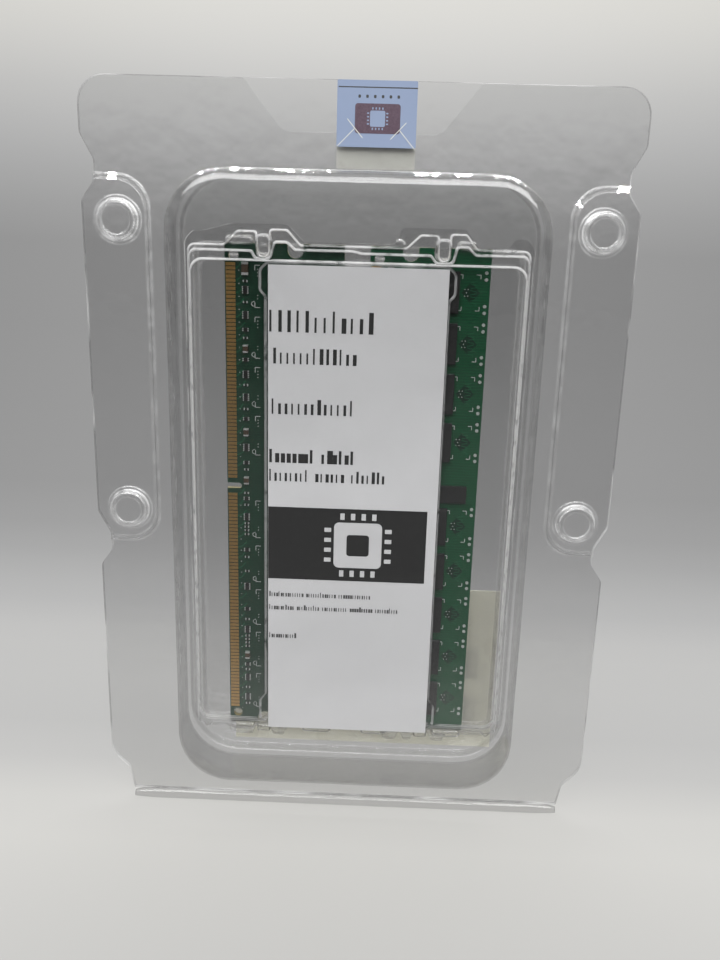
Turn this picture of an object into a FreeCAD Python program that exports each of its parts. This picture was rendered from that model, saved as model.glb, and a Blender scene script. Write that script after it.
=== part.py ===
"""Two memory modules in their clear retail clamshell.

Frame: X across the pack, +Y towards its back, +Z up. The pack stands upright on its
living hinge, so the origin is the centre of its bounding box's bottom face.
The two boards are 240-contact registered modules, 133.35 x 30 x 1.27 mm, standing on a
short end with their contacts towards -X.
"""
import FreeCAD, Part

import math
import os

import Sketcher
from FreeCAD import Placement, Rotation, Vector

doc = FreeCAD.newDocument("memory_kit")

# --------------------------------------------------------------------------------------
# Driving dimensions, in millimetres
# --------------------------------------------------------------------------------------
DIMENSIONS = [
    # standard module outline
    ("board_tall", 133.35, "length of a module, standing up"),
    ("board_wide", 30.0, "contact edge to top edge"),
    ("board_thick", 1.27, "laminate thickness"),
    ("board_low", 26.0, "height of the modules' lower ends"),
    ("board_front", 5.5, "y of the boards' visible face"),
    ("board_a_left", -33.4, "x of module a's contact edge"),
    ("board_b_left", 3.0, "x of module b's contact edge"),
    ("key_centre", 70.675, "key slot's centre above the lower end"),
    ("key_wide", 1.5, "key slot's width"),
    ("key_deep", 3.9, "key slot's depth"),
    ("notch_near", 10.0, "first end notch, from the contact edge"),
    ("notch_far", 17.78, "second end notch, from the contact edge"),
    ("notch_wide", 4.0, "end notch's width"),
    ("notch_deep", 3.4, "end notch's depth"),
    ("hole_radius", 1.25, "tooling hole"),
    ("hole_in", 2.3, "tooling hole from the contact edge"),
    ("hole_end", 3.0, "tooling hole from the short end"),
    ("bevel", 0.25, "bevel of the contact edge"),
    ("finger_pitch", 1.0, "contact pitch"),
    ("finger_wide", 0.8, "contact width"),
    ("finger_long", 2.4, "contact length"),
    ("finger_in", 0.3, "contact's start from the board's edge"),
    ("finger_first", 5.175, "first contact above the lower end"),
    ("finger_thick", 0.04, "plating thickness"),
    # packages
    ("dram_side", 10.5, "memory package, both ways"),
    ("dram_pitch", 12.8, "memory package pitch"),
    ("dram_low_centre", 10.1, "lowest package's centre"),
    ("dram_high_centre", 84.4, "first package's centre above the clock chip"),
    ("dram_left", 12.0, "package's edge from the contact edge"),
    ("ball_gap", 0.25, "solder ball height"),
    ("ball_radius", 0.22, "solder ball radius"),
    ("ball_pitch", 0.8, "solder ball pitch"),
    ("substrate_thick", 0.25, "package substrate"),
    ("mould_thick", 0.7, "package mould cap"),
    # clamshell
    ("wall", 0.45, "clamshell sheet"),
    ("clearance", 0.3, "gap between separate mouldings"),
    ("flange_half", 68.3, "half width of the flange"),
    ("flange_top", 197.2, "top of the flange"),
    ("flange_corner", 8.0, "flange's top corner radius"),
    ("flange_low", 4.2, "lower edge of the flange"),
    ("neck_rise", 5.0, "height of the step where the flange narrows to the hinge"),
    ("neck_out", 1.2, "how far that step stands out from the hinge's end"),
    ("neck_top", 10.0, "height at which the flange reaches its full width"),
    ("hinge_half", 62.0, "half length of the living hinge"),
    ("front_back", 5.95, "y of the front sheet's rear face"),
    ("back_front", 6.25, "y of the back sheet's front face"),
    ("waist_deep", 3.2, "depth of the side waists"),
    ("waist_high", 175.5, "upper waist"),
    ("waist_low", 80.0, "lower waist"),
    ("waist_above", 8.5, "where a waist starts above its middle"),
    ("waist_flat", 2.5, "half length of a waist's straight middle"),
    ("waist_below", 7.0, "where a waist ends below its middle"),
    ("trim_margin", 12.0, "how far the trimmed stretch runs past each waist"),
    ("dome_half", 45.8, "half width of the blister at its base"),
    ("dome_low", 15.0, "blister's lower edge"),
    ("dome_top", 176.6, "blister's upper edge"),
    ("dome_front", -10.1, "y of the blister's front face"),
    ("dome_corner", 14.5, "blister's corner radius"),
    ("dome_rim", 4.0, "radius round the blister's front face"),
    ("dome_wall", 0.3, "blister's wall, which is drawn thinner than the flange"),
    ("draft", 2.0, "draft angle of formed walls, degrees"),
    ("recess_half", 44.9, "half width of the rear recess"),
    ("recess_low", 16.2, "rear recess's lower edge"),
    ("recess_top", 175.4, "rear recess's upper edge"),
    ("recess_back", 9.95, "y of the rear recess's outer face"),
    ("panel_inner", 51.6, "stepped side panel's inner edge"),
    ("panel_low", 80.0, "stepped side panel's lower edge"),
    ("panel_top", 175.0, "stepped side panel's upper edge"),
    ("panel_step", 0.8, "stepped side panel's height"),
    ("panel_corner", 8.0, "stepped side panel's corner radius"),
    ("button_x", 59.5, "snap button from the centre line"),
    ("button_low", 89.7, "lower snap buttons"),
    ("button_high", 164.0, "upper snap buttons"),
    ("button_radius", 5.7, "snap button's radius where it leaves its panel"),
    ("button_tall", 3.0, "snap button's height"),
    ("button_draft", 22.0, "snap button's draft, degrees"),
    ("thumb_top_half", 30.0, "thumb cut-out, half width at the top"),
    ("thumb_low_half", 19.0, "thumb cut-out, half width at the bottom"),
    ("thumb_deep", 11.7, "thumb cut-out's depth"),
    # living hinge
    ("hinge_axis_y", 5.7, "y of the hinge axis"),
    ("hinge_axis_z", 0.7, "z of the hinge axis"),
    ("hinge_radius", 2.9, "hinge bead, round about the axis above its flat foot"),
    # inner tray
    ("tray_wall", 0.35, "tray sheet"),
    ("tray_half", 43.8, "half width of the tray's rim"),
    ("tray_low", 24.7, "rim's lower edge"),
    ("tray_top", 160.6, "rim's upper edge between the bulges"),
    ("bulge_top", 164.1, "top of the rim's bulges"),
    ("bulge_left", 9.0, "bulge's flat, left of its nub"),
    ("bulge_a_right", 6.0, "module a's bulge, flat right of its nub"),
    ("bulge_b_right", 8.0, "module b's bulge, flat right of its nub"),
    ("bulge_slope", 4.0, "width of a bulge's slopes"),
    ("pocket_half", 41.4, "half width of the tray's pocket"),
    ("pocket_floor", 9.15, "y of the pocket's floor"),
    ("ledge_face", 7.07, "y of the ledges behind the boards' ends"),
    ("ledge_deep", 3.6, "ledge's height at each end"),
    ("nub_a_x", -23.6, "locating nub in module a's near notch"),
    ("nub_b_x", 21.1, "locating nub in module b's far notch"),
    ("nub_half", 1.35, "half width of a locating nub"),
    ("nub_deep", 2.7, "how far a nub reaches into the pocket"),
    ("step_one_half", 41.9, "cover's platform, half width"),
    ("step_one_low", 28.0, "cover's platform, lower edge"),
    ("step_one_top", 155.2, "cover's platform, upper edge"),
    ("step_one_face", 2.75, "y of the cover's platform"),
    ("step_two_half", 42.2, "second step, half width"),
    ("step_two_low", 26.4, "second step, lower edge"),
    ("step_two_top", 157.6, "second step, upper edge"),
    ("step_two_face", 3.7, "y of the second step"),
    ("step_three_half", 42.5, "third step, half width"),
    ("step_three_low", 25.3, "third step, lower edge"),
    ("step_three_top", 160.0, "third step, upper edge"),
    ("step_three_face", 4.85, "y of the third step"),
    ("tray_corner", 5.0, "corner radius of the cover's steps"),
    ("slot_half", 22.9, "leaflet recess, half width"),
    ("slot_top", 154.8, "leaflet recess, upper edge"),
    ("slot_deep", 0.9, "leaflet recess, depth"),
    ("ear_radius", 3.0, "rounded ears at the recess's corners"),
    ("ear_x", 22.1, "ear centre from the centre line"),
    ("ear_low", 31.0, "lower ears"),
    ("ear_high", 150.6, "upper ears"),
    # papers
    ("leaflet_left", -22.2, "leaflet's fold"),
    ("leaflet_right", 22.6, "leaflet's open edge"),
    ("leaflet_low", 26.2, "leaflet's lower edge"),
    ("leaflet_top", 154.4, "leaflet's upper edge"),
    ("leaflet_front", 2.7, "y of the leaflet's front"),
    ("leaflet_thick", 0.65, "folded thickness"),
    ("leaflet_ply", 0.16, "one ply of the leaflet's cover"),
    ("seal_left", -6.0, "seal's left edge"),
    ("seal_right", 13.0, "seal's right edge"),
    ("seal_front_low", 182.3, "front flap's lower edge"),
    ("seal_rear_low", 177.4, "rear flap's lower edge"),
    ("seal_thick", 0.12, "seal's thickness"),
    ("label_left", -32.6, "rear label"),
    ("label_right", 42.0, "rear label"),
    ("label_low", 18.0, "rear label"),
    ("label_top", 67.2, "rear label"),
    ("label_thick", 0.15, "rear label"),
    ("cut_margin", 1.0, "how far a cut runs past the edge it trims"),
    ("recess_rounder", 1.0, "how much smaller the recess's corners are than the dome's"),
    ("page_side_gap", 0.4, "leaflet cover's side edge to its pages"),
    ("page_end_gap", 0.3, "leaflet cover's ends to its pages"),
]

sizes = doc.addObject("Spreadsheet::Sheet", "sizes")
for row, (alias, value, note) in enumerate(DIMENSIONS, start=1):
    sizes.set(f"A{row}", alias)
    sizes.set(f"B{row}", str(value))
    sizes.set(f"C{row}", note)
    sizes.setAlias(f"B{row}", alias)
doc.recompute()


def size(alias):
    """A driving dimension, as a number."""
    return float(sizes.get(alias))


def cell(text):
    """Names of driving dimensions in text become references to the sheet."""
    words = text.replace("(", " ( ").replace(")", " ) ").split()
    known = {alias for alias, value, note in DIMENSIONS}
    return " ".join(f"sizes.{word}" if word in known else word for word in words)


# --------------------------------------------------------------------------------------
# Sketches and features
# --------------------------------------------------------------------------------------
parts = []


def new_body(label):
    body = doc.addObject("PartDesign::Body", label)
    body.Label = label
    parts.append(body)
    return body


def new_sketch(body, name, plane, offset):
    """A sketch parallel to one of the body's planes, offset along the plane's normal."""
    sketch = body.newObject("Sketcher::SketchObject", name)
    support = next(item for item in body.Origin.OriginFeatures if item.Role == plane)
    sketch.AttachmentSupport = [(support, "")]
    sketch.MapMode = "FlatFace"
    sketch.setExpression(".AttachmentOffset.Base.z", cell(offset))
    return sketch


def front_sketch(body, name, depth):
    """A sketch seen from the front at y = depth; its normal points to -Y."""
    return new_sketch(body, name, "XZ_Plane", f"-1 * ( {depth} )")


def side_sketch(body, name, across):
    """A sketch in the YZ plane at x = across."""
    return new_sketch(body, name, "YZ_Plane", across)


def bind(sketch, kind, geometry, point, text):
    """A point's coordinate, bound to the sheet."""
    value = float(sketch.evalExpression(cell(text)))
    index = sketch.addConstraint(Sketcher.Constraint(kind, geometry, point, value))
    sketch.setExpression(f"Constraints[{index}]", cell(text))


def add_polygon(sketch, corners):
    """A closed polygon whose corners are pairs of texts naming driving dimensions."""
    spots = [Vector(float(sketch.evalExpression(cell(across))),
                    float(sketch.evalExpression(cell(up))), 0) for across, up in corners]
    first = sketch.GeometryCount
    count = len(corners)
    for index in range(count):
        line = Part.LineSegment(spots[index], spots[(index + 1) % count])
        sketch.addGeometry(line, False)
    for index in range(count):
        following = first + (index + 1) % count
        sketch.addConstraint(Sketcher.Constraint("Coincident", first + index, 2, following, 1))
        bind(sketch, "DistanceX", first + index, 1, corners[index][0])
        bind(sketch, "DistanceY", first + index, 1, corners[index][1])


def add_box(sketch, left, right, low, high):
    add_polygon(sketch, [(left, low), (right, low), (right, high), (left, high)])


def add_rounded(sketch, left, right, low, high, radius):
    """A rectangle with four equal round corners, every size bound to the sheet."""
    x_low, x_high, z_low, z_high, round_size = (
        float(sketch.evalExpression(cell(text))) for text in (left, right, low, high, radius))
    quarter = math.pi / 2
    corners = [
        ((x_low + round_size, z_low), (x_high - round_size, z_low), 3),
        ((x_high, z_low + round_size), (x_high, z_high - round_size), 0),
        ((x_high - round_size, z_high), (x_low + round_size, z_high), 1),
        ((x_low, z_high - round_size), (x_low, z_low + round_size), 2),
    ]
    centres = [(x_high - round_size, z_low + round_size), (x_high - round_size, z_high - round_size),
               (x_low + round_size, z_high - round_size), (x_low + round_size, z_low + round_size)]
    first = sketch.GeometryCount
    for (start, finish, turn), centre in zip(corners, centres):
        sketch.addGeometry(Part.LineSegment(Vector(*start, 0), Vector(*finish, 0)), False)
        circle = Part.Circle(Vector(*centre, 0), Vector(0, 0, 1), round_size)
        sketch.addGeometry(Part.ArcOfCircle(circle, turn * quarter, (turn + 1) * quarter), False)
    for step in range(0, 8, 2):
        arc = first + step + 1
        following = first + (step + 2) % 8
        sketch.addConstraint(Sketcher.Constraint("Tangent", first + step, 2, arc, 1))
        sketch.addConstraint(Sketcher.Constraint("Tangent", arc, 2, following, 1))
        row = sketch.addConstraint(Sketcher.Constraint("Radius", arc, round_size))
        sketch.setExpression(f"Constraints[{row}]", cell(radius))
    for step, kind in ((0, "Horizontal"), (2, "Vertical"), (4, "Horizontal"), (6, "Vertical")):
        sketch.addConstraint(Sketcher.Constraint(kind, first + step))
    bind(sketch, "DistanceY", first, 1, low)
    bind(sketch, "DistanceX", first + 2, 1, right)
    bind(sketch, "DistanceY", first + 4, 1, high)
    bind(sketch, "DistanceX", first + 6, 1, left)


def add_circle(sketch, across, up, radius):
    centre = Vector(float(sketch.evalExpression(cell(across))),
                    float(sketch.evalExpression(cell(up))), 0)
    value = float(sketch.evalExpression(cell(radius)))
    index = sketch.addGeometry(Part.Circle(centre, Vector(0, 0, 1), value), False)
    bind(sketch, "DistanceX", index, 3, across)
    bind(sketch, "DistanceY", index, 3, up)
    row = sketch.addConstraint(Sketcher.Constraint("Radius", index, value))
    sketch.setExpression(f"Constraints[{row}]", cell(radius))


def extrude(body, kind, sketch, name, length, backward=False, taper=None):
    """A Pad or Pocket along the sketch's normal, or against it when backward is set."""
    feature = body.newObject(f"PartDesign::{kind}", name)
    feature.Profile = sketch
    feature.setExpression("Length", cell(length))
    feature.Reversed = backward == (kind == "Pad")
    if taper:
        feature.setExpression("TaperAngle", cell(taper))
    before = body.Shape.Volume if not body.Shape.isNull() else 0.0
    doc.recompute()
    change = feature.Shape.Volume - before
    if (change > 0) != (kind == "Pad"):
        raise RuntimeError(f"{name} changed the volume the wrong way: {change:.4f}")
    return feature


def pad(body, sketch, name, length, **options):
    return extrude(body, "Pad", sketch, name, length, **options)


def pocket(body, sketch, name, length, **options):
    return extrude(body, "Pocket", sketch, name, length, **options)


def smooth(body, kind, name, feature, radius, picks):
    """A fillet or chamfer on the edges of feature that picks() accepts."""
    chosen = [f"Edge{index}" for index, edge in enumerate(feature.Shape.Edges, start=1)
              if picks(edge)]
    if not chosen:
        raise RuntimeError(f"{name} found no edges")
    result = body.newObject(f"PartDesign::{kind}", name)
    result.Base = (feature, chosen)
    result.setExpression("Radius" if kind == "Fillet" else "Size", cell(radius))
    doc.recompute()
    if "Invalid" in result.State or result.Shape.isNull():
        raise RuntimeError(f"{name} failed on {chosen}")
    return result


def ends(edge):
    return edge.Vertexes[0].Point, edge.Vertexes[-1].Point


def runs_along_y(edge, spots, reach=2.0):
    """A nearly straight edge along Y that starts or ends near one of the spots in X and Z."""
    start, finish = ends(edge)
    if abs(start.y - finish.y) < 0.2 or math.hypot(start.x - finish.x, start.z - finish.z) > 2.0:
        return False
    return any(math.hypot(end.x - across, end.z - up) < reach
               for end in (start, finish) for across, up in spots)


def lies_at_y(edge, depth):
    """An edge wholly in the plane y = depth."""
    flat = all(abs(vertex.Point.y - depth) < 0.02 for vertex in edge.Vertexes)
    return flat and edge.BoundBox.YLength < 0.02


def add_group(label, solids, left):
    """Identical small parts share a node: separate solids in one compound."""
    group = doc.addObject("Part::Feature", label)
    group.Label = label
    group.Shape = Part.makeCompound(solids)
    group.Placement = Placement(Vector(left, size("board_front"), size("board_low")), Rotation())
    parts.append(group)
    return group


# --------------------------------------------------------------------------------------
# Clamshell: two formed sheets with the same outline
# --------------------------------------------------------------------------------------
def flange_outline(sketch):
    """Plain outline of both flanges; it narrows below to the living hinge."""
    shoulder = [("flange_half", "flange_low + neck_top"), ("flange_half", "flange_top")]
    right = [("hinge_half", "flange_low"), ("hinge_half + neck_out", "flange_low + neck_rise")]
    right += shoulder
    left = [(f"-1 * ( {across} )", up) for across, up in reversed(right)]
    add_polygon(sketch, right + left)


def flange_plate(body, depth):
    """The flat flange, its rear or front face at y = depth, with rounded corners."""
    sketch = front_sketch(body, f"{body.Label}_outline", depth)
    flange_outline(sketch)
    plate = pad(body, sketch, f"{body.Label}_flange", "wall")
    low_edge = size("flange_low")
    top = [(side * size("flange_half"), size("flange_top")) for side in (-1, 1)]
    low = [(side * size("flange_half"), low_edge + size("neck_top")) for side in (-1, 1)]
    neck = [(side * (size("hinge_half") + size("neck_out")), low_edge + size("neck_rise"))
            for side in (-1, 1)]
    plate = smooth(body, "Fillet", f"{body.Label}_top_corners", plate, "flange_corner",
                   lambda edge: runs_along_y(edge, top))
    plate = smooth(body, "Fillet", f"{body.Label}_low_corners", plate, "flange_corner",
                   lambda edge: runs_along_y(edge, low))
    return smooth(body, "Fillet", f"{body.Label}_neck", plate, "flange_corner / 3",
                  lambda edge: runs_along_y(edge, neck))


def trim_sides(body, depth):
    """Trims both long sides to the flange's outline, with two shallow waists in each."""
    sketch = front_sketch(body, f"{body.Label}_side_outline", depth)
    for sign in ("-1", "1"):
        edge = f"{sign} * flange_half"
        deep = f"{sign} * ( flange_half - waist_deep )"
        beyond = f"{sign} * ( flange_half + 2 * panel_corner )"
        top = "waist_high + waist_above + trim_margin"
        bottom = "waist_low - waist_below - trim_margin"
        corners = [(beyond, top), (edge, top)]
        for height in ("waist_high", "waist_low"):
            corners += [
                (edge, f"{height} + waist_above"),
                (deep, f"{height} + waist_flat"),
                (deep, f"{height} - waist_flat"),
                (edge, f"{height} - waist_below"),
            ]
        corners += [(edge, bottom), (beyond, bottom)]
        add_polygon(sketch, corners)
    cut = pocket(body, sketch, f"{body.Label}_sides", "10 * wall")
    spots = []
    for side in (-1, 1):
        outer = side * size("flange_half")
        inner = side * (size("flange_half") - size("waist_deep"))
        for height in (size("waist_high"), size("waist_low")):
            spots += [(outer, height + size("waist_above")), (inner, height + size("waist_flat"))]
            spots += [(inner, height - size("waist_flat")), (outer, height - size("waist_below"))]
    return smooth(body, "Fillet", f"{body.Label}_waist_rounds", cut, "flange_corner / 3.2",
                  lambda edge: runs_along_y(edge, spots, 0.3))


def side_panels(body, depth, inset):
    """Panels that step forward round the snap buttons; open at the flange's side edges."""
    beyond = "flange_half + 1.5 * panel_corner"
    for name, sign in (("left", -1), ("right", 1)):
        for role, lip in (("panel", inset), ("panel_hollow", f"{inset} + wall")):
            sketch = front_sketch(body, f"{body.Label}_{name}_{role}_outline", depth)
            near = f"panel_inner + {lip}"
            across = (f"-1 * ( {beyond} )", f"-1 * ( {near} )") if sign < 0 else (near, beyond)
            add_rounded(sketch, across[0], across[1], f"panel_low + {lip}",
                        f"panel_top - ( {lip} )", f"panel_corner - ( {lip} ) + {inset}")
            if role == "panel":
                pad(body, sketch, f"{body.Label}_{name}_panel", "wall + panel_step")
            else:
                pocket(body, sketch, f"{body.Label}_{name}_panel_hollow", "panel_step")


def snap_buttons(body, depth, inset):
    """Four round buttons formed forward; the back sheet's sit inside the front sheet's."""
    places = [(sign, height) for sign in ("-1", "1") for height in ("button_low", "button_high")]
    root = f"{depth} - panel_step"
    outer = front_sketch(body, f"{body.Label}_button_outline", root)
    inner = front_sketch(body, f"{body.Label}_button_hollow_outline", root)
    for sign, height in places:
        add_circle(outer, f"{sign} * button_x", height, f"button_radius - ( {inset} )")
        add_circle(inner, f"{sign} * button_x", height, f"button_radius - ( {inset} ) - wall")
    pad(body, outer, f"{body.Label}_buttons", "button_tall - panel_step + wall",
        taper="-1 * button_draft")
    pocket(body, inner, f"{body.Label}_button_hollows", "button_tall - panel_step",
           taper="-1 * button_draft")


def build_front_shell():
    """Front sheet: flange, deep clear blister, side panels and snap buttons."""
    body = new_body("front_shell")
    flange_plate(body, "front_back")
    base = front_sketch(body, "blister_outline", "front_back")
    add_rounded(base, "-1 * dome_half", "dome_half", "dome_low", "dome_top", "dome_corner")
    dome = pad(body, base, "blister", "front_back - dome_front", taper="-1 * draft")
    smooth(body, "Fillet", "blister_rim", dome, "dome_rim",
           lambda edge: lies_at_y(edge, size("dome_front")))
    core = doc.addObject("PartDesign::Body", "blister_core")
    inside = front_sketch(core, "blister_core_outline", "front_back")
    add_rounded(inside, "-1 * ( dome_half - dome_wall )", "dome_half - dome_wall",
                "dome_low + dome_wall", "dome_top - dome_wall", "dome_corner - dome_wall")
    block = pad(core, inside, "blister_core_block", "front_back - dome_front - dome_wall",
                taper="-1 * draft")
    smooth(core, "Fillet", "blister_core_rim", block, "dome_rim - dome_wall",
           lambda edge: lies_at_y(edge, size("dome_front") + size("dome_wall")))
    hollow = body.newObject("PartDesign::Boolean", "blister_hollow")
    hollow.Type = "Cut"
    hollow.setObjects([core])
    doc.recompute()
    side_panels(body, "front_back", "0")
    snap_buttons(body, "front_back", "0")
    trim_sides(body, "front_back")


def build_back_shell():
    """Back sheet: flange, shallow recess for the tray, nested panels and buttons."""
    body = new_body("back_shell")
    flange_plate(body, "back_front + wall")
    base = front_sketch(body, "recess_outline", "back_front")
    add_rounded(base, "-1 * recess_half", "recess_half", "recess_low", "recess_top",
                "dome_corner - recess_rounder")
    tub = pad(body, base, "recess", "recess_back - back_front", backward=True,
              taper="-1 * draft")
    smooth(body, "Fillet", "recess_rim", tub, "3 * wall",
           lambda edge: lies_at_y(edge, size("recess_back")))
    inside = front_sketch(body, "recess_inside_outline", "back_front")
    add_rounded(inside, "-1 * ( recess_half - wall )", "recess_half - wall",
                "recess_low + wall", "recess_top - wall", "dome_corner - recess_rounder - wall")
    cut = pocket(body, inside, "recess_inside", "recess_back - back_front - wall",
                 backward=True, taper="-1 * draft")
    smooth(body, "Fillet", "recess_inside_rim", cut, "2 * wall",
           lambda edge: lies_at_y(edge, size("recess_back") - size("wall")))
    side_panels(body, "back_front + wall", "wall + clearance")
    snap_buttons(body, "back_front + wall", "wall + clearance")
    thumb = front_sketch(body, "thumb_outline", "back_front + wall")
    add_polygon(thumb, [
        ("-1 * thumb_low_half", "flange_top - thumb_deep"),
        ("thumb_low_half", "flange_top - thumb_deep"),
        ("thumb_top_half", "flange_top + 2 * cut_margin"),
        ("-1 * thumb_top_half", "flange_top + 2 * cut_margin"),
    ])
    cut = pocket(body, thumb, "thumb_cut_out", "wall")
    spots = [(side * size("thumb_low_half"), size("flange_top") - size("thumb_deep"))
             for side in (-1, 1)]
    smooth(body, "Fillet", "thumb_rounds", cut, "flange_corner / 2",
           lambda edge: runs_along_y(edge, spots, 0.3))
    trim_sides(body, "back_front + wall")


def add_bead(sketch, radius, low):
    """A round outline about the hinge axis, cut flat at z = low."""
    centre = Vector(size("hinge_axis_y"), size("hinge_axis_z"), 0)
    round_size = float(sketch.evalExpression(cell(radius)))
    start = math.asin((float(sketch.evalExpression(cell(low))) - centre.y) / round_size)
    circle = Part.Circle(centre, Vector(0, 0, 1), round_size)
    arc = sketch.addGeometry(Part.ArcOfCircle(circle, start, math.pi - start), False)
    shape = sketch.Geometry[arc]
    flat = sketch.addGeometry(Part.LineSegment(shape.EndPoint, shape.StartPoint), False)
    sketch.addConstraint(Sketcher.Constraint("Coincident", arc, 2, flat, 1))
    sketch.addConstraint(Sketcher.Constraint("Coincident", flat, 2, arc, 1))
    sketch.addConstraint(Sketcher.Constraint("Horizontal", flat))
    bind(sketch, "DistanceX", arc, 3, "hinge_axis_y")
    bind(sketch, "DistanceY", arc, 3, "hinge_axis_z")
    bind(sketch, "DistanceY", flat, 1, low)
    row = sketch.addConstraint(Sketcher.Constraint("Radius", arc, round_size))
    sketch.setExpression(f"Constraints[{row}]", cell(radius))


def build_living_hinge():
    """Hollow bead along the bottom: round about the hinge axis, with the pack's flat foot."""
    body = new_body("living_hinge")
    outer = side_sketch(body, "bead_outline", "-1 * hinge_half")
    add_bead(outer, "hinge_radius", "0")
    pad(body, outer, "bead", "2 * hinge_half")
    web = side_sketch(body, "bead_web_outline", "-1 * hinge_half")
    add_box(web, "back_front", "back_front + wall", "hinge_axis_z + hinge_radius - 2 * wall",
            "flange_low")
    pad(body, web, "bead_web", "2 * hinge_half")
    inner = side_sketch(body, "bead_hollow_outline", "-1 * hinge_half")
    add_bead(inner, "hinge_radius - wall", "wall")
    pocket(body, inner, "bead_hollow", "2 * hinge_half")


# --------------------------------------------------------------------------------------
# Inner tray: a base behind the boards and a cover in front of them
# --------------------------------------------------------------------------------------
def tray_rim(body, depth):
    """The rim, with a trapezoid bulge over each locating nub at both ends."""
    sketch = front_sketch(body, f"{body.Label}_rim_outline", depth)
    bulges = [("nub_a_x - bulge_left", "nub_a_x + bulge_a_right"),
              ("nub_b_x - bulge_left", "nub_b_x + bulge_b_right")]
    outline = []
    for rim, bulge in (("tray_low", "tray_low - ( bulge_top - tray_top )"),
                       ("tray_top", "bulge_top")):
        run = [("-1 * tray_half", rim)]
        for left, right in bulges:
            run += [(f"{left} - bulge_slope", rim), (left, bulge), (right, bulge),
                    (f"{right} + bulge_slope", rim)]
        run.append(("tray_half", rim))
        outline += run if rim == "tray_low" else run[::-1]
    add_polygon(sketch, outline)
    plate = pad(body, sketch, f"{body.Label}_rim", "tray_wall")
    spots = [(side * size("tray_half"), height) for side in (-1, 1)
             for height in (size("tray_low"), size("tray_top"))]
    return smooth(body, "Fillet", f"{body.Label}_rim_corners", plate, "tray_corner",
                  lambda edge: runs_along_y(edge, spots, 0.3))


def build_tray_base():
    """Tray behind the boards: one pocket, ledges behind their ends and locating nubs."""
    body = new_body("tray_base")
    tray_rim(body, "back_front + tray_wall")
    low = "board_low - clearance"
    high = "board_low + board_tall + clearance"
    tub = front_sketch(body, "pocket_outline", "back_front")
    add_box(tub, "-1 * ( pocket_half + tray_wall )", "pocket_half + tray_wall",
            f"{low} - tray_wall", f"{high} + tray_wall")
    pad(body, tub, "pocket_tub", "pocket_floor + tray_wall - back_front", backward=True)
    ledges = front_sketch(body, "ledge_outline", "back_front")
    add_box(ledges, "-1 * pocket_half", "pocket_half", low, high)
    pocket(body, ledges, "pocket_ledges", "ledge_face - back_front", backward=True)
    floor = front_sketch(body, "floor_outline", "back_front")
    add_box(floor, "-1 * pocket_half", "pocket_half", f"{low} + ledge_deep", f"{high} - ledge_deep")
    pocket(body, floor, "pocket_floor_hollow", "pocket_floor - back_front", backward=True)
    under = front_sketch(body, "ledge_hollow_outline", "pocket_floor + tray_wall")
    add_box(under, "-1 * ( pocket_half + cut_margin )", "pocket_half + cut_margin",
            f"{low} - cut_margin", f"{low} + ledge_deep - tray_wall")
    add_box(under, "-1 * ( pocket_half + cut_margin )", "pocket_half + cut_margin",
            f"{high} - ledge_deep + tray_wall", f"{high} + cut_margin")
    pocket(body, under, "ledge_hollows", "pocket_floor - ledge_face")
    pegs = front_sketch(body, "nub_outline", "ledge_face")
    for centre in ("nub_a_x", "nub_b_x"):
        add_box(pegs, f"{centre} - nub_half", f"{centre} + nub_half", f"{low} - tray_wall",
                f"{low} + nub_deep")
        add_box(pegs, f"{centre} - nub_half", f"{centre} + nub_half", f"{high} - nub_deep",
                f"{high} + tray_wall")
    nubs = pad(body, pegs, "locating_nubs", "ledge_face - back_front")
    spots = [(centre + side * size("nub_half"), height)
             for centre in (size("nub_a_x"), size("nub_b_x")) for side in (-1, 1)
             for height in (size("board_low") - size("clearance") + size("nub_deep"),
                            size("board_low") + size("board_tall") + size("clearance")
                            - size("nub_deep"))]
    smooth(body, "Fillet", "nub_rounds", nubs, "nub_half * 0.96",
           lambda edge: runs_along_y(edge, spots, 0.3))


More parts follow.
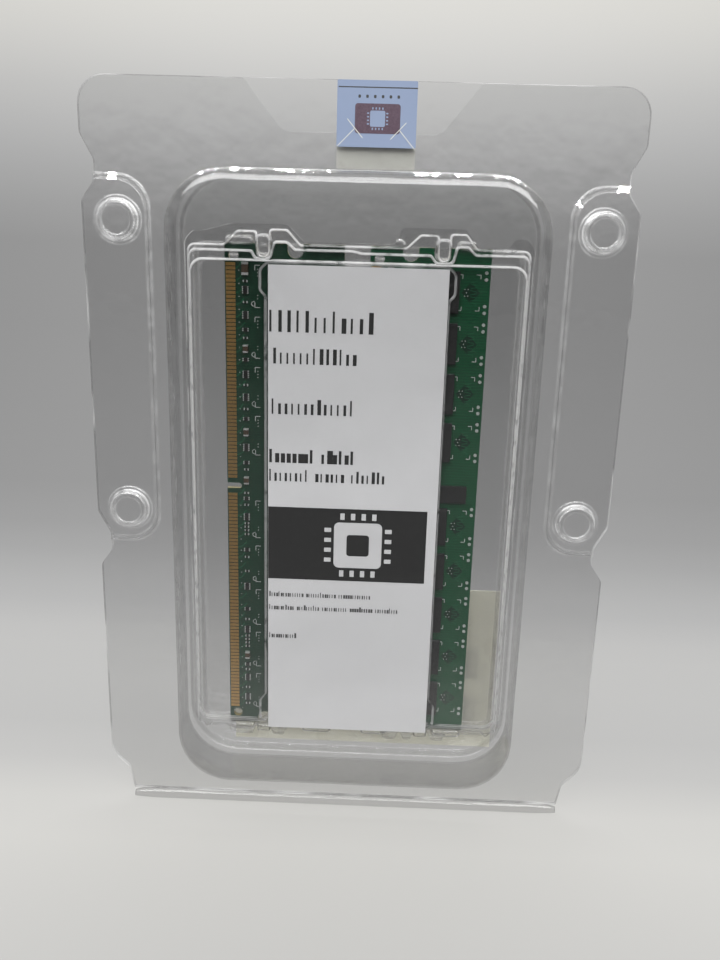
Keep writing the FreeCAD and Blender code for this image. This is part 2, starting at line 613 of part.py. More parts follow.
def build_tray_cover():
    """Tray cover in front of the boards: three steps and a recess for the leaflet."""
    body = new_body("tray_cover")
    tray_rim(body, "front_back")
    for step in ("step_three", "step_two", "step_one"):
        sketch = front_sketch(body, f"{step}_outline", "front_back")
        add_rounded(sketch, f"-1 * {step}_half", f"{step}_half", f"{step}_low", f"{step}_top",
                    "tray_corner")
        pad(body, sketch, f"{step}_block", f"front_back - {step}_face")
    slot = front_sketch(body, "leaflet_recess_outline", "step_one_face + slot_deep")
    add_box(slot, "-1 * slot_half", "slot_half", "step_one_low - 3 * cut_margin", "slot_top")
    pocket(body, slot, "leaflet_recess", "slot_deep")
    ears = front_sketch(body, "ear_outline", "step_one_face + slot_deep")
    for sign in ("-1", "1"):
        for height in ("ear_low", "ear_high"):
            add_circle(ears, f"{sign} * ear_x", height, "ear_radius")
    pocket(body, ears, "leaflet_recess_ears", "slot_deep")
    for step in ("step_three", "step_two"):
        sketch = front_sketch(body, f"{step}_hollow_outline", "front_back")
        add_rounded(sketch, f"-1 * ( {step}_half - tray_wall )", f"{step}_half - tray_wall",
                    f"{step}_low + tray_wall", f"{step}_top - tray_wall",
                    "tray_corner - tray_wall")
        pocket(body, sketch, f"{step}_hollow", f"front_back - {step}_face - tray_wall")
    strips = front_sketch(body, "platform_hollow_outline", "front_back")
    near = "slot_half + tray_wall"
    clear = "ear_x + ear_radius + tray_wall"
    far = "step_one_half - tray_wall"
    bottom = "step_one_low + tray_wall"
    top = "step_one_top - tray_wall"
    for sign in ("-1", "1"):
        outline = [
            (far, bottom), (far, top), (near, top),
            (near, "ear_high + ear_radius + tray_wall"),
            (clear, "ear_high + ear_radius + tray_wall"),
            (clear, "ear_high - ear_radius - tray_wall"),
            (near, "ear_high - ear_radius - tray_wall"),
            (near, "ear_low + ear_radius + tray_wall"),
            (clear, "ear_low + ear_radius + tray_wall"),
            (clear, bottom),
        ]
        add_polygon(strips, [(f"{sign} * ( {across} )", up) for across, up in outline])
    pocket(body, strips, "platform_hollow", "front_back - step_one_face - tray_wall")
    middle = front_sketch(body, "recess_rear_outline", "front_back")
    add_box(middle, f"-1 * ( {clear} )", clear, bottom, top)
    pocket(body, middle, "recess_rear_hollow",
           "front_back - step_one_face - slot_deep - tray_wall")


# --------------------------------------------------------------------------------------
# Papers
# --------------------------------------------------------------------------------------
def bound_box(name, left, right, front, back, low, high):
    """A Part box whose faces are bound to the sheet."""
    box = doc.addObject("Part::Box", name)
    box.setExpression("Length", cell(f"( {right} ) - ( {left} )"))
    box.setExpression("Width", cell(f"( {back} ) - ( {front} )"))
    box.setExpression("Height", cell(f"( {high} ) - ( {low} )"))
    box.setExpression(".Placement.Base.x", cell(left))
    box.setExpression(".Placement.Base.y", cell(front))
    box.setExpression(".Placement.Base.z", cell(low))
    return box


def combine(kind, label, base, tool):
    """Two objects cut or joined into one sub-part."""
    result = doc.addObject(f"Part::{kind}", label)
    result.Label = label
    result.Base = base
    result.Tool = tool
    parts.append(result)
    return result


def build_leaflet():
    """Folded leaflet: a cover folded at its left edge round its inner pages."""
    back = "leaflet_front + leaflet_thick"
    block = bound_box("leaflet_block", "leaflet_left", "leaflet_right", "leaflet_front", back,
                      "leaflet_low", "leaflet_top")
    inside = bound_box("leaflet_inside", "leaflet_left + leaflet_ply", "leaflet_right + cut_margin",
                       "leaflet_front + leaflet_ply", f"{back} - leaflet_ply",
                       "leaflet_low - cut_margin", "leaflet_top + cut_margin")
    combine("Cut", "leaflet_cover", block, inside)
    pages = bound_box("leaflet_pages", "leaflet_left + leaflet_ply", "leaflet_right - page_side_gap",
                      "leaflet_front + leaflet_ply", f"{back} - leaflet_ply",
                      "leaflet_low + page_end_gap", "leaflet_top - page_end_gap")
    pages.Label = "leaflet_pages"
    parts.append(pages)


def build_labels():
    """Rear label, and the tamper seal folded over the top edge in two halves."""
    label = bound_box("rear_label", "label_left", "label_right", "recess_back",
                      "recess_back + label_thick", "label_low", "label_top")
    label.Label = "rear_label"
    parts.append(label)
    front_face = "front_back - wall"
    flap = bound_box("seal_front_flap", "seal_left", "seal_right", f"{front_face} - seal_thick",
                     front_face, "seal_front_low", "flange_top + seal_thick")
    lip = bound_box("seal_front_lip", "seal_left", "seal_right", f"{front_face} - seal_thick",
                    "front_back", "flange_top", "flange_top + seal_thick")
    combine("Fuse", "seal_front", flap, lip)
    rear_face = "back_front + wall"
    flap = bound_box("seal_rear_flap", "seal_left", "seal_right", rear_face,
                     f"{rear_face} + seal_thick", "seal_rear_low", "flange_top + seal_thick")
    lip = bound_box("seal_rear_lip", "seal_left", "seal_right", "back_front",
                    f"{rear_face} + seal_thick", "flange_top", "flange_top + seal_thick")
    combine("Fuse", "seal_rear", flap, lip)


# --------------------------------------------------------------------------------------
# Memory modules: local x from the contact edge, y from the visible face, z from the end
# --------------------------------------------------------------------------------------
def build_board(letter):
    """Bare laminate with its key slot, end notches, tooling holes and bevelled edge."""
    body = new_body(f"board_{letter}")
    outline = front_sketch(body, f"board_{letter}_outline", "0")
    add_box(outline, "0", "board_wide", "0", "board_tall")
    plate = pad(body, outline, f"board_{letter}_laminate", "board_thick", backward=True)
    smooth(body, "Chamfer", f"board_{letter}_bevel", plate, "bevel",
           lambda edge: edge.BoundBox.ZLength > 100 and edge.BoundBox.XMax < 0.01)
    key = front_sketch(body, f"board_{letter}_key_outline", "0")
    add_box(key, "-1", "key_deep", "key_centre - key_wide / 2", "key_centre + key_wide / 2")
    slot = pocket(body, key, f"board_{letter}_key", "board_thick", backward=True)
    key_spots = [(size("key_deep"), size("key_centre") + side * size("key_wide") / 2)
                 for side in (-1, 1)]
    smooth(body, "Fillet", f"board_{letter}_key_round", slot, "key_wide * 0.48",
           lambda edge: runs_along_y(edge, key_spots, 0.1))
    notches = front_sketch(body, f"board_{letter}_notch_outline", "0")
    spots = []
    for along in ("notch_near", "notch_far"):
        left = f"{along} - notch_wide / 2"
        right = f"{along} + notch_wide / 2"
        add_box(notches, left, right, "-1", "notch_deep")
        add_box(notches, left, right, "board_tall - notch_deep", "board_tall + cut_margin")
        for side in (-1, 1):
            across = size(along) + side * size("notch_wide") / 2
            spots += [(across, size("notch_deep")),
                      (across, size("board_tall") - size("notch_deep"))]
    cut = pocket(body, notches, f"board_{letter}_notches", "board_thick", backward=True)
    smooth(body, "Fillet", f"board_{letter}_notch_rounds", cut, "notch_wide * 0.48",
           lambda edge: runs_along_y(edge, spots, 0.1))
    holes = front_sketch(body, f"board_{letter}_hole_outline", "0")
    add_circle(holes, "hole_in", "hole_end", "hole_radius")
    add_circle(holes, "hole_in", "board_tall - hole_end", "hole_radius")
    pocket(body, holes, f"board_{letter}_holes", "board_thick", backward=True)
    body.setExpression(".Placement.Base.x", cell(f"board_{letter}_left"))
    body.setExpression(".Placement.Base.y", cell("board_front"))
    body.setExpression(".Placement.Base.z", cell("board_low"))


def finger_heights():
    """Heights of the 120 contacts on one face: 64 below the key slot and 56 above it."""
    below = [size("finger_first") + index * size("finger_pitch") for index in range(64)]
    first_above = below[-1] + 5 * size("finger_pitch")
    return below + [first_above + index * size("finger_pitch") for index in range(56)]


def dram_heights():
    """Centres of the nine packages on one face: five below the clock chip, four above."""
    below = [size("dram_low_centre") + index * size("dram_pitch") for index in range(5)]
    return below + [size("dram_high_centre") + index * size("dram_pitch") for index in range(4)]


def face_box(across, long_x, up, long_z, near, thick, rear=False):
    """A box centred at across and up, from near to near + thick off the board's face."""
    y = size("board_thick") + near if rear else -near - thick
    corner = Vector(across - long_x / 2, y, up - long_z / 2)
    return Part.makeBox(long_x, thick, long_z, corner)


def eased(box, amount, rear=False):
    """A box with its outer edges chamfered by amount."""
    outer = box.BoundBox.YMax if rear else box.BoundBox.YMin
    edges = [edge for edge in box.Edges
             if all(abs(vertex.Y - outer) < 1e-6 for vertex in edge.Vertexes)
             or edge.BoundBox.YLength > 0.5 * box.BoundBox.YLength]
    return box.makeChamfer(amount, edges)


# Small parts along the contact strip of the visible face, from the top end down:
# (kind, height above the lower end). Kinds: cap = capacitor on end, res = chip resistor,
# four and two = resistor arrays with that many elements.
STRIP_PARTS = [
    ("big_cap", 127.2), ("res", 124.1), ("four", 121.9), ("res", 118.9), ("four", 115.7),
    ("two", 112.0), ("res", 109.9), ("cap", 107.2), ("two", 104.4), ("four", 100.6),
    ("res", 97.8), ("four", 94.6), ("res", 91.5), ("two", 88.9), ("cap", 85.4), ("four", 81.2),
    ("two", 77.1), ("res", 75.2), ("cap", 72.3), ("res", 68.7), ("two", 67.2), ("res", 65.4),
    ("four", 62.0), ("res", 60.2), ("res", 59.2), ("res", 58.2), ("res", 57.1), ("two", 52.6),
    ("res", 50.5), ("res", 46.4), ("four", 41.9), ("two", 35.2), ("res", 32.1), ("four", 29.0),
    ("res", 27.1), ("res", 26.0), ("res", 25.0), ("res", 23.9), ("cap", 21.3), ("two", 18.3),
    ("res", 16.7), ("four", 14.2), ("res", 11.1), ("four", 8.1), ("res", 6.0),
]
STRIP_X = 5.2
ARRAY_OFFSET = 3.2
CAP_EASE = 0.12
CHIP_EASE = 0.1
SPD_EASE = 0.08
ARRAY_WIDE = 1.0
ARRAY_PITCH = 0.5
ARRAY_THICK = 0.45
RES_LONG = 1.0
RES_WIDE = 0.5
RES_THICK = 0.35
CAP_SIZES = {"cap": (2.0, 1.25, 0.9), "big_cap": (3.2, 1.6, 1.1)}
SOLDER_OUT = 0.3
EDGE_DOT_IN = 1.05
EDGE_DOT_OFFSET = 4.1
EDGE_DOT_RADIUS = 0.42
EDGE_DOT_SPACE = 1.65
EDGE_DOT_TALL = 0.22


def strip_parts():
    """Bodies of the arrays, resistors and capacitors, and the solder at their ends."""
    arrays, resistors, capacitors, solder = [], [], [], []
    for kind, up in STRIP_PARTS:
        if kind in ("four", "two"):
            count = 4 if kind == "four" else 2
            arrays.append(face_box(STRIP_X, ARRAY_WIDE, up, count * ARRAY_PITCH, 0.0, ARRAY_THICK))
            for index in range(count):
                height = up + (index - (count - 1) / 2) * ARRAY_PITCH
                for side in (-1, 1):
                    across = STRIP_X + side * (ARRAY_WIDE + SOLDER_OUT) / 2
                    solder.append(face_box(across, SOLDER_OUT, height, ARRAY_PITCH * 0.6, 0.0,
                                           ARRAY_THICK * 0.8))
        elif kind == "res":
            resistors.append(face_box(STRIP_X, RES_LONG * 0.6, up, RES_WIDE, 0.0, RES_THICK))
            for side in (-1, 1):
                across = STRIP_X + side * (RES_LONG * 0.3 + SOLDER_OUT / 2)
                solder.append(face_box(across, SOLDER_OUT, up, RES_WIDE, 0.0, RES_THICK))
        else:
            tall, wide, thick = CAP_SIZES[kind]
            capacitors.append(face_box(STRIP_X, wide, up, tall * 0.62, 0.0, thick))
            for side in (-1, 1):
                height = up + side * tall * 0.405
                solder.append(face_box(STRIP_X, wide, height, tall * 0.19, 0.0, thick))
    for centre in dram_heights():
        for end in (-1, 1):
            for side in (-1, 1):
                height = centre + end * EDGE_DOT_OFFSET + side * EDGE_DOT_SPACE / 2
                spot = Vector(size("board_wide") - EDGE_DOT_IN, 0, height)
                solder.append(Part.makeCylinder(EDGE_DOT_RADIUS, EDGE_DOT_TALL, spot,
                                                Vector(0, -1, 0)))
    return arrays, resistors, capacitors, solder


def rear_strip_parts():
    """The rear face carries a plainer row of arrays and resistors behind the same strip."""
    arrays, resistors, solder = [], [], []
    for centre in dram_heights():
        for up in (centre - ARRAY_OFFSET, centre + ARRAY_OFFSET):
            arrays.append(face_box(STRIP_X, ARRAY_WIDE, up, 4 * ARRAY_PITCH, 0.0, ARRAY_THICK,
                                   rear=True))
            for index in range(4):
                for side in (-1, 1):
                    across = STRIP_X + side * (ARRAY_WIDE + SOLDER_OUT) / 2
                    height = up + (index - 1.5) * ARRAY_PITCH
                    solder.append(face_box(across, SOLDER_OUT, height, ARRAY_PITCH * 0.6, 0.0,
                                           ARRAY_THICK * 0.8, rear=True))
        resistors.append(face_box(STRIP_X, RES_LONG * 0.6, centre, RES_WIDE, 0.0, RES_THICK,
                                  rear=True))
        for side in (-1, 1):
            across = STRIP_X + side * (RES_LONG * 0.3 + SOLDER_OUT / 2)
            solder.append(face_box(across, SOLDER_OUT, centre, RES_WIDE, 0.0, RES_THICK,
                                   rear=True))
    return arrays, resistors, solder


def dram_packages():
    """Mould caps of each face, the substrates, and the outer rows of solder balls."""
    across = size("dram_left") + size("dram_side") / 2
    side = size("dram_side")
    gap = size("ball_gap")
    base = size("substrate_thick")
    caps = {False: [], True: []}
    substrates, balls = [], []
    for rear in (False, True):
        for centre in dram_heights():
            cap = face_box(across, side - 0.2, centre, side - 0.2, gap + base,
                           size("mould_thick"), rear)
            caps[rear].append(eased(cap, CAP_EASE, rear))
            substrates.append(face_box(across, side, centre, side, gap, base, rear))
            for column in (-1, 1):
                for row in range(11):
                    start = size("board_thick") if rear else 0.0
                    spot = Vector(across + column * 4 * size("ball_pitch"), start,
                                  centre + (row - 5) * size("ball_pitch"))
                    away = Vector(0, 1 if rear else -1, 0)
                    balls.append(Part.makeCylinder(size("ball_radius"), gap, spot, away))
    return caps[False], caps[True], substrates, balls


CLOCK_CHIP = (23.7, 7.0, 70.3, 4.6)
REGISTER_CHIP = (17.2, 13.5, 72.9, 5.5)
SPD_CHIP = (26.4, 4.4, 62.6, 3.0)
CHIP_THICK = 1.0
SPD_LEAD_PITCH = 0.65
SPD_STANDOFF = 0.1
SPD_THICK = 0.8
LEAD_WIDE = 0.25
LEAD_THICK = 0.12
FOOT_OUT = 0.6
FOOT_LONG = 0.5
RISER_OUT = 0.38
RISER_TALL = 0.55
ARM_OUT = 0.22
ARM_LONG = 0.44
ARM_UP = 0.43


def logic_chips():
    """Clock chip on the visible face; register and configuration memory behind."""
    clock_x, clock_long, clock_z, clock_tall = CLOCK_CHIP
    clock = eased(face_box(clock_x, clock_long, clock_z, clock_tall, 0.0, CHIP_THICK), CHIP_EASE)
    reg_x, reg_long, reg_z, reg_tall = REGISTER_CHIP
    register = eased(face_box(reg_x, reg_long, reg_z, reg_tall, 0.0, CHIP_THICK, rear=True),
                     CHIP_EASE, rear=True)
    return clock, register


def spd_parts():
    """Configuration memory: an eight-lead package on the rear face's upper strip."""
    across, wide, up, tall = SPD_CHIP
    body = eased(face_box(across, wide, up, tall, SPD_STANDOFF, SPD_THICK, rear=True), SPD_EASE,
                 rear=True)
    leads = []
    for index in range(4):
        height = up + (index - 1.5) * SPD_LEAD_PITCH
        for side in (-1, 1):
            flank = across + side * wide / 2
            foot = face_box(flank + side * FOOT_OUT, FOOT_LONG, height, LEAD_WIDE, 0.0, LEAD_THICK,
                            rear=True)
            riser = face_box(flank + side * RISER_OUT, LEAD_THICK, height, LEAD_WIDE, 0.0,
                             RISER_TALL, rear=True)
            arm = face_box(flank + side * ARM_OUT, ARM_LONG, height, LEAD_WIDE, ARM_UP, LEAD_THICK,
                           rear=True)
            leads.append(foot.fuse(riser).fuse(arm).removeSplitter())
    return body, leads


LABEL_WIDE = 9.0
LABEL_TALL = 60.0
LABEL_Z = 96.0
MODULE_LABEL_THICK = 0.1


def build_module(letter):
    """One memory module: its board and everything soldered or stuck to it."""
    build_board(letter)
    left = size(f"board_{letter}_left")
    thick = size("finger_thick")
    across = size("finger_in") + size("finger_long") / 2
    for name, rear in (("contacts_visible", False), ("contacts_rear", True)):
        fingers = [face_box(across, size("finger_long"), up, size("finger_wide"), 0.0, thick, rear)
                   for up in finger_heights()]
        add_group(f"{name}_{letter}", fingers, left)
    visible_caps, rear_caps, substrates, balls = dram_packages()
    add_group(f"memory_chips_visible_{letter}", visible_caps, left)
    add_group(f"memory_chips_rear_{letter}", rear_caps, left)
    add_group(f"chip_substrates_{letter}", substrates, left)
    add_group(f"solder_balls_{letter}", balls, left)
    clock, register = logic_chips()
    add_group(f"clock_chip_{letter}", [clock], left)
    add_group(f"register_chip_{letter}", [register], left)
    spd_body, spd_leads = spd_parts()
    add_group(f"spd_chip_{letter}", [spd_body], left)
    add_group(f"spd_leads_{letter}", spd_leads, left)
    arrays, resistors, capacitors, solder = strip_parts()
    rear_arrays, rear_resistors, rear_solder = rear_strip_parts()
    add_group(f"resistor_arrays_{letter}", arrays + rear_arrays, left)
    add_group(f"chip_resistors_{letter}", resistors + rear_resistors, left)
    add_group(f"capacitors_{letter}", capacitors, left)
    add_group(f"solder_joints_{letter}", solder + rear_solder, left)
    stack = size("ball_gap") + size("substrate_thick") + size("mould_thick")
    sticker = face_box(size("dram_left") + size("dram_side") / 2, LABEL_WIDE, LABEL_Z, LABEL_TALL,
                       stack, MODULE_LABEL_THICK, rear=True)
    add_group(f"module_label_{letter}", [sticker], left)


build_back_shell()
build_living_hinge()
build_front_shell()
build_tray_base()
build_tray_cover()
build_leaflet()
build_labels()
for module_letter in ("a", "b"):
    build_module(module_letter)

doc.recompute()
for item in doc.Objects:
    if "Invalid" in item.State or "Error" in item.State:
        raise RuntimeError(f"{item.Label} failed: {item.State}")

os.makedirs("parts", exist_ok=True)
for part in parts:
    shape = part.Shape
    if shape.isNull() or not shape.isValid():
        raise RuntimeError(f"{part.Label} has no valid shape")
    shape.exportStep(os.path.join("parts", f"{part.Label}.step"))
    box = shape.BoundBox
    print(f"{part.Label:28s} {len(shape.Solids):4d} solids {shape.Volume:10.2f} mm3 "
          f"y {box.YMin:7.2f} {box.YMax:7.2f} z {box.ZMin:7.2f} {box.ZMax:7.2f}")
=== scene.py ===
"""The memory module kit in its clear clamshell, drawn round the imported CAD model.

Lengths are in millimetres until a mesh is made. X runs across the pack, +Y to its back and +Z up.
An outline is a list of (x, z, radius) corners, anticlockwise as seen from the front.
"""

import math
import random

import bpy
import numpy as np
from mathutils import Matrix, Vector
from mathutils.geometry import delaunay_2d_cdt


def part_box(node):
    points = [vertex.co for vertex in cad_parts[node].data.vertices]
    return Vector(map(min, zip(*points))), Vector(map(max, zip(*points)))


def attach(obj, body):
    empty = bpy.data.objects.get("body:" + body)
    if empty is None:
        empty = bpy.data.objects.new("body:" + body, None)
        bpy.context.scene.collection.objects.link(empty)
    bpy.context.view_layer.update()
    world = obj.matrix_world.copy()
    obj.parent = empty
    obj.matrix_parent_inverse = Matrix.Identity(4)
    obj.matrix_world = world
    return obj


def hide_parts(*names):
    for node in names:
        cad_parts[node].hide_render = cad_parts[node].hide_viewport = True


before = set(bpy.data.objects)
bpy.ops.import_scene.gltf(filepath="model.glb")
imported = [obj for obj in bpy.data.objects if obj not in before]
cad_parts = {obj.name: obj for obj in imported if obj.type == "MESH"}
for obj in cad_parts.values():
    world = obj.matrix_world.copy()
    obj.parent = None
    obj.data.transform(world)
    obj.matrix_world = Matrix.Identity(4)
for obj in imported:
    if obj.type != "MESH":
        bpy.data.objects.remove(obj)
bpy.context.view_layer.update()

MM = 0.001
INK_THICK = 0.015
PAPER_PROUD = 0.12
ARC_STEP = math.radians(12)
luck = random.Random(240)


# --------------------------------------------------------------------------------------
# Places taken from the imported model
# --------------------------------------------------------------------------------------
def node_box(name):
    low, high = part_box(name)
    return low / MM, high / MM


SHELL_LOW, SHELL_HIGH = node_box("front_shell")
HALF, TOP = SHELL_HIGH.x, SHELL_HIGH.z
SHEET, TRAY_SHEET = 0.45, 0.35
FRONT_FACE = SHELL_HIGH.y - SHEET
RIPPLE = 0.05
DOME_FACE = SHELL_LOW.y + RIPPLE
BACK_FACE = 6.7
RECESS_FACE = node_box("back_shell")[1].y
PANEL_STEP = 0.8
BUTTONS = [(side * 59.5, z) for side in (-1, 1) for z in (89.7, 164.0)]
BOARDS = {m: node_box(f"board_{m}") for m in "ab"}
LEAFLET_LOW, LEAFLET_HIGH = node_box("leaflet_cover")
HINGE_LOW, HINGE_HIGH = node_box("living_hinge")
BEAD_TOP = 2.5
DRAM_CENTRES = [10.1 + 12.8 * k for k in range(5)] + [84.4 + 12.8 * k for k in range(4)]


# --------------------------------------------------------------------------------------
# Outlines
# --------------------------------------------------------------------------------------
def corner_parts(corners, i):
    """A corner's point and the directions of the sides before and after it."""
    here = Vector(corners[i][:2])
    arriving = here - Vector(corners[i - 1][:2])
    leaving = Vector(corners[(i + 1) % len(corners)][:2]) - here
    return here, arriving, leaving


def rounded(corners, span=4.0):
    """A closed path through the corners, with arcs at its turns and long sides divided."""
    turns = []
    for i, corner in enumerate(corners):
        here, arriving, leaving = corner_parts(corners, i)
        room = 0.5 * min(arriving.length, leaving.length)
        arriving.normalize()
        leaving.normalize()
        turn = math.atan2(arriving.cross(leaving), arriving.dot(leaving))
        if corner[2] < 0.02 or abs(turn) < 0.02:
            turns.append(here)
            continue
        half_tan = abs(math.tan(turn / 2))
        reach = min(corner[2] * half_tan, room)
        start = here - arriving * reach
        left = Vector((-arriving.y, arriving.x)) * math.copysign(1, turn)
        centre = start + left * (reach / half_tan)
        steps = max(2, round(abs(turn) / ARC_STEP))
        for k in range(steps + 1):
            turns.append(centre + Matrix.Rotation(turn * k / steps, 2) @ (start - centre))
    path = []
    for i, point in enumerate(turns):
        last = turns[i - 1]
        gap = (point - last).length
        if gap < 1e-3:
            continue
        pieces = math.ceil(gap / span)
        path += [tuple(last.lerp(point, k / pieces)) for k in range(1, pieces + 1)]
    return path


def inset(corners, by):
    """The corners of the same outline moved inwards, with concentric turns."""
    moved = []
    for i, corner in enumerate(corners):
        here, arriving, leaving = corner_parts(corners, i)
        arriving.normalize()
        leaving.normalize()
        both = Vector((-arriving.y - leaving.y, arriving.x + leaving.x))
        place = here + both * (2 * by / both.length_squared)
        radius = corner[2] - math.copysign(by, arriving.cross(leaving))
        moved.append((place.x, place.y, max(radius, 0.0)))
    return moved


def box(x0, z0, x1, z1, radius=0.0):
    return [(x0, z0, radius), (x1, z0, radius), (x1, z1, radius), (x0, z1, radius)]


def ring(x, z, radius):
    return box(x - radius, z - radius, x + radius, z + radius, radius)


def mirrored(corners):
    """The right half of an outline, followed by its mirror image."""
    return corners + [(-x, z, radius) for x, z, radius in reversed(corners)]


def strip(points, width):
    """The outline of a line of that width through the points."""
    points = [Vector(p) for p in points]
    left, right = [], []
    for i, point in enumerate(points):
        along = points[min(i + 1, len(points) - 1)] - points[max(i - 1, 0)]
        side = Vector((-along.y, along.x)).normalized() * (width / 2)
        left.append(tuple(point + side))
        right.append(tuple(point - side))
    return right + left[::-1]


def disc(x, z, radius, count=12):
    return [
        (x + radius * math.cos(math.tau * k / count), z + radius * math.sin(math.tau * k / count))
        for k in range(count)
    ]


def fold(deep, draft, outer, inner, steps=4, wall=0, glow=0.0):
    """Rows of (offset inwards, depth, glow) of a formed feature: a bend, a drafted wall, a bend back.

    The glow is how much white scatter is painted on the bends as a highlight.
    """
    side = math.copysign(1, deep)
    lean = math.radians(draft)
    turn = math.pi / 2 - lean
    start = outer * math.tan(turn / 2)
    end = abs(deep) * math.tan(lean) + inner * math.tan(turn / 2)
    rows = []
    for k in range(steps + 1):
        angle = turn * k / steps
        shine = glow * math.sin(math.pi * k / (steps + 1))
        rows.append((outer * math.sin(angle) - start, side * outer * (1 - math.cos(angle)), shine))
    above = rows[-1][:2]
    below = (end - inner * math.sin(turn), deep - side * inner * (1 - math.cos(turn)))
    for k in range(1, wall):
        share = k / wall
        rows.append(tuple(a + share * (b - a) for a, b in zip(above, below)) + (0.0,))
    for k in range(steps, -1, -1):
        angle = turn * k / steps
        shine = glow * math.sin(math.pi * k / (steps + 1))
        rows.append((end - inner * math.sin(angle), deep - side * inner * (1 - math.cos(angle)), shine))
    return rows


# --------------------------------------------------------------------------------------
# Meshes
# --------------------------------------------------------------------------------------
def finish_piece(piece, body, nodes=()):
    bpy.context.scene.collection.objects.link(piece)
    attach(piece, body)
    if nodes:
        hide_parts(*nodes)
    return piece


def mesh_piece(name, points, faces, materials, smooth=False):
    """A mesh object from points in millimetres."""
    mesh = bpy.data.meshes.new(name)
    mesh.from_pydata([tuple(c * MM for c in p) for p in points], [], faces)
    for made in materials:
        mesh.materials.append(made)
    if smooth:
        mesh.shade_smooth()
    mesh.update()
    return bpy.data.objects.new(name, mesh)


def distance(points, path):
    """How far inside a closed path each point is, negative outside."""
    a = np.array(path)
    side = np.roll(a, -1, 0) - a
    to_point = points[:, None] - a
    share = np.clip((to_point * side).sum(2) / (side * side).sum(1), 0, 1)
    gap = np.linalg.norm(to_point - share[..., None] * side, axis=2).min(1)
    rise = np.where(side[:, 1] == 0, 1, side[:, 1])
    height = points[:, 1, None]
    spans = (a[:, 1] <= height) != (a[:, 1] + side[:, 1] <= height)
    passes = points[:, 0, None] < a[:, 0] + (height - a[:, 1]) * side[:, 0] / rise
    return np.where((spans & passes).sum(1) % 2 == 1, gap, -gap)


def ripple(points, size):
    """The slight waviness of a formed sheet."""
    x, y, z = points.T
    z = z + 1.7 * y
    wave = np.sin(x / 6.1 + 1.3 * np.sin(z / 23.0)) * np.cos(z / 8.7 + 0.9 * np.sin(x / 17.0))
    return size * (0.6 * wave + 0.4 * np.sin(x / 2.9 + z / 12.0) * np.sin(z / 3.7))


def sheet_plan(outline, features, cell):
    """Triangles of a sheet seen from the front, with each point's known depth in its own feature."""
    points, sides, known = [], [], []

    def add(path, tag):
        first = len(points)
        points.extend(path)
        known.extend([tag] * len(path))
        sides.extend((first + i, first + (i + 1) % len(path)) for i in range(len(path)))

    edge = rounded(outline)
    add(edge, None)
    for number, (corners, rows) in enumerate(features):
        for row in rows:
            add(rounded(inset(corners, row[0])), (number, row))
    loops = np.array(points)
    low, high = loops.min(0), loops.max(0)
    across = np.arange(low[0], high[0], cell)
    up = np.arange(low[1], high[1], cell)
    grid = np.array([(x + cell / 2 * (j % 2), z) for j, z in enumerate(up) for x in across])
    grid = grid[distance(grid, edge) > 1.5]
    clear = np.array([np.linalg.norm(loops - p, axis=1).min() for p in grid]) > 1.5
    points += [tuple(p) for p in grid[clear]]
    flat, _, faces, origin, _, _ = delaunay_2d_cdt([Vector(p) for p in points], sides, [], 0, 1e-4, True)
    flat = np.array([tuple(p) for p in flat])
    middles = np.array([flat[list(f)].mean(0) for f in faces])
    inside = distance(middles, edge) > 0
    faces = [list(f) for f, kept in zip(faces, inside) if kept]
    tags = [[known[s] for s in sources if s < len(known) and known[s]] for sources in origin]
    return flat, faces, tags


def sheet_depth(flat, tags, features):
    """The depth of the formed sheet at each point, and how much painted highlight it has there."""
    total, glow = np.zeros(len(flat)), np.zeros(len(flat))
    for number, (corners, rows) in enumerate(features):
        offsets, deeps, _ = zip(*rows)
        part = np.interp(distance(flat, rounded(corners)), offsets, deeps)
        for i, found in enumerate(tags):
            for owner, row in found:
                if owner == number:
                    part[i] = row[1]
                    glow[i] = max(glow[i], row[2])
        total += part
    return total, glow


def vertex_normals(points, faces):
    f = np.array(faces)
    cross = np.cross(points[f[:, 1]] - points[f[:, 0]], points[f[:, 2]] - points[f[:, 0]])
    total = np.zeros_like(points)
    for corner in range(3):
        np.add.at(total, f[:, corner], cross)
    return total / np.maximum(np.linalg.norm(total, axis=1), 1e-9)[:, None]


def open_sides(faces):
    """The sides that only one face has, in that face's direction."""
    count = {}
    for face in faces:
        for i, a in enumerate(face):
            b = face[(i + 1) % len(face)]
            count.setdefault(frozenset((a, b)), []).append((a, b))
    return [found[0] for found in count.values() if len(found) == 1]


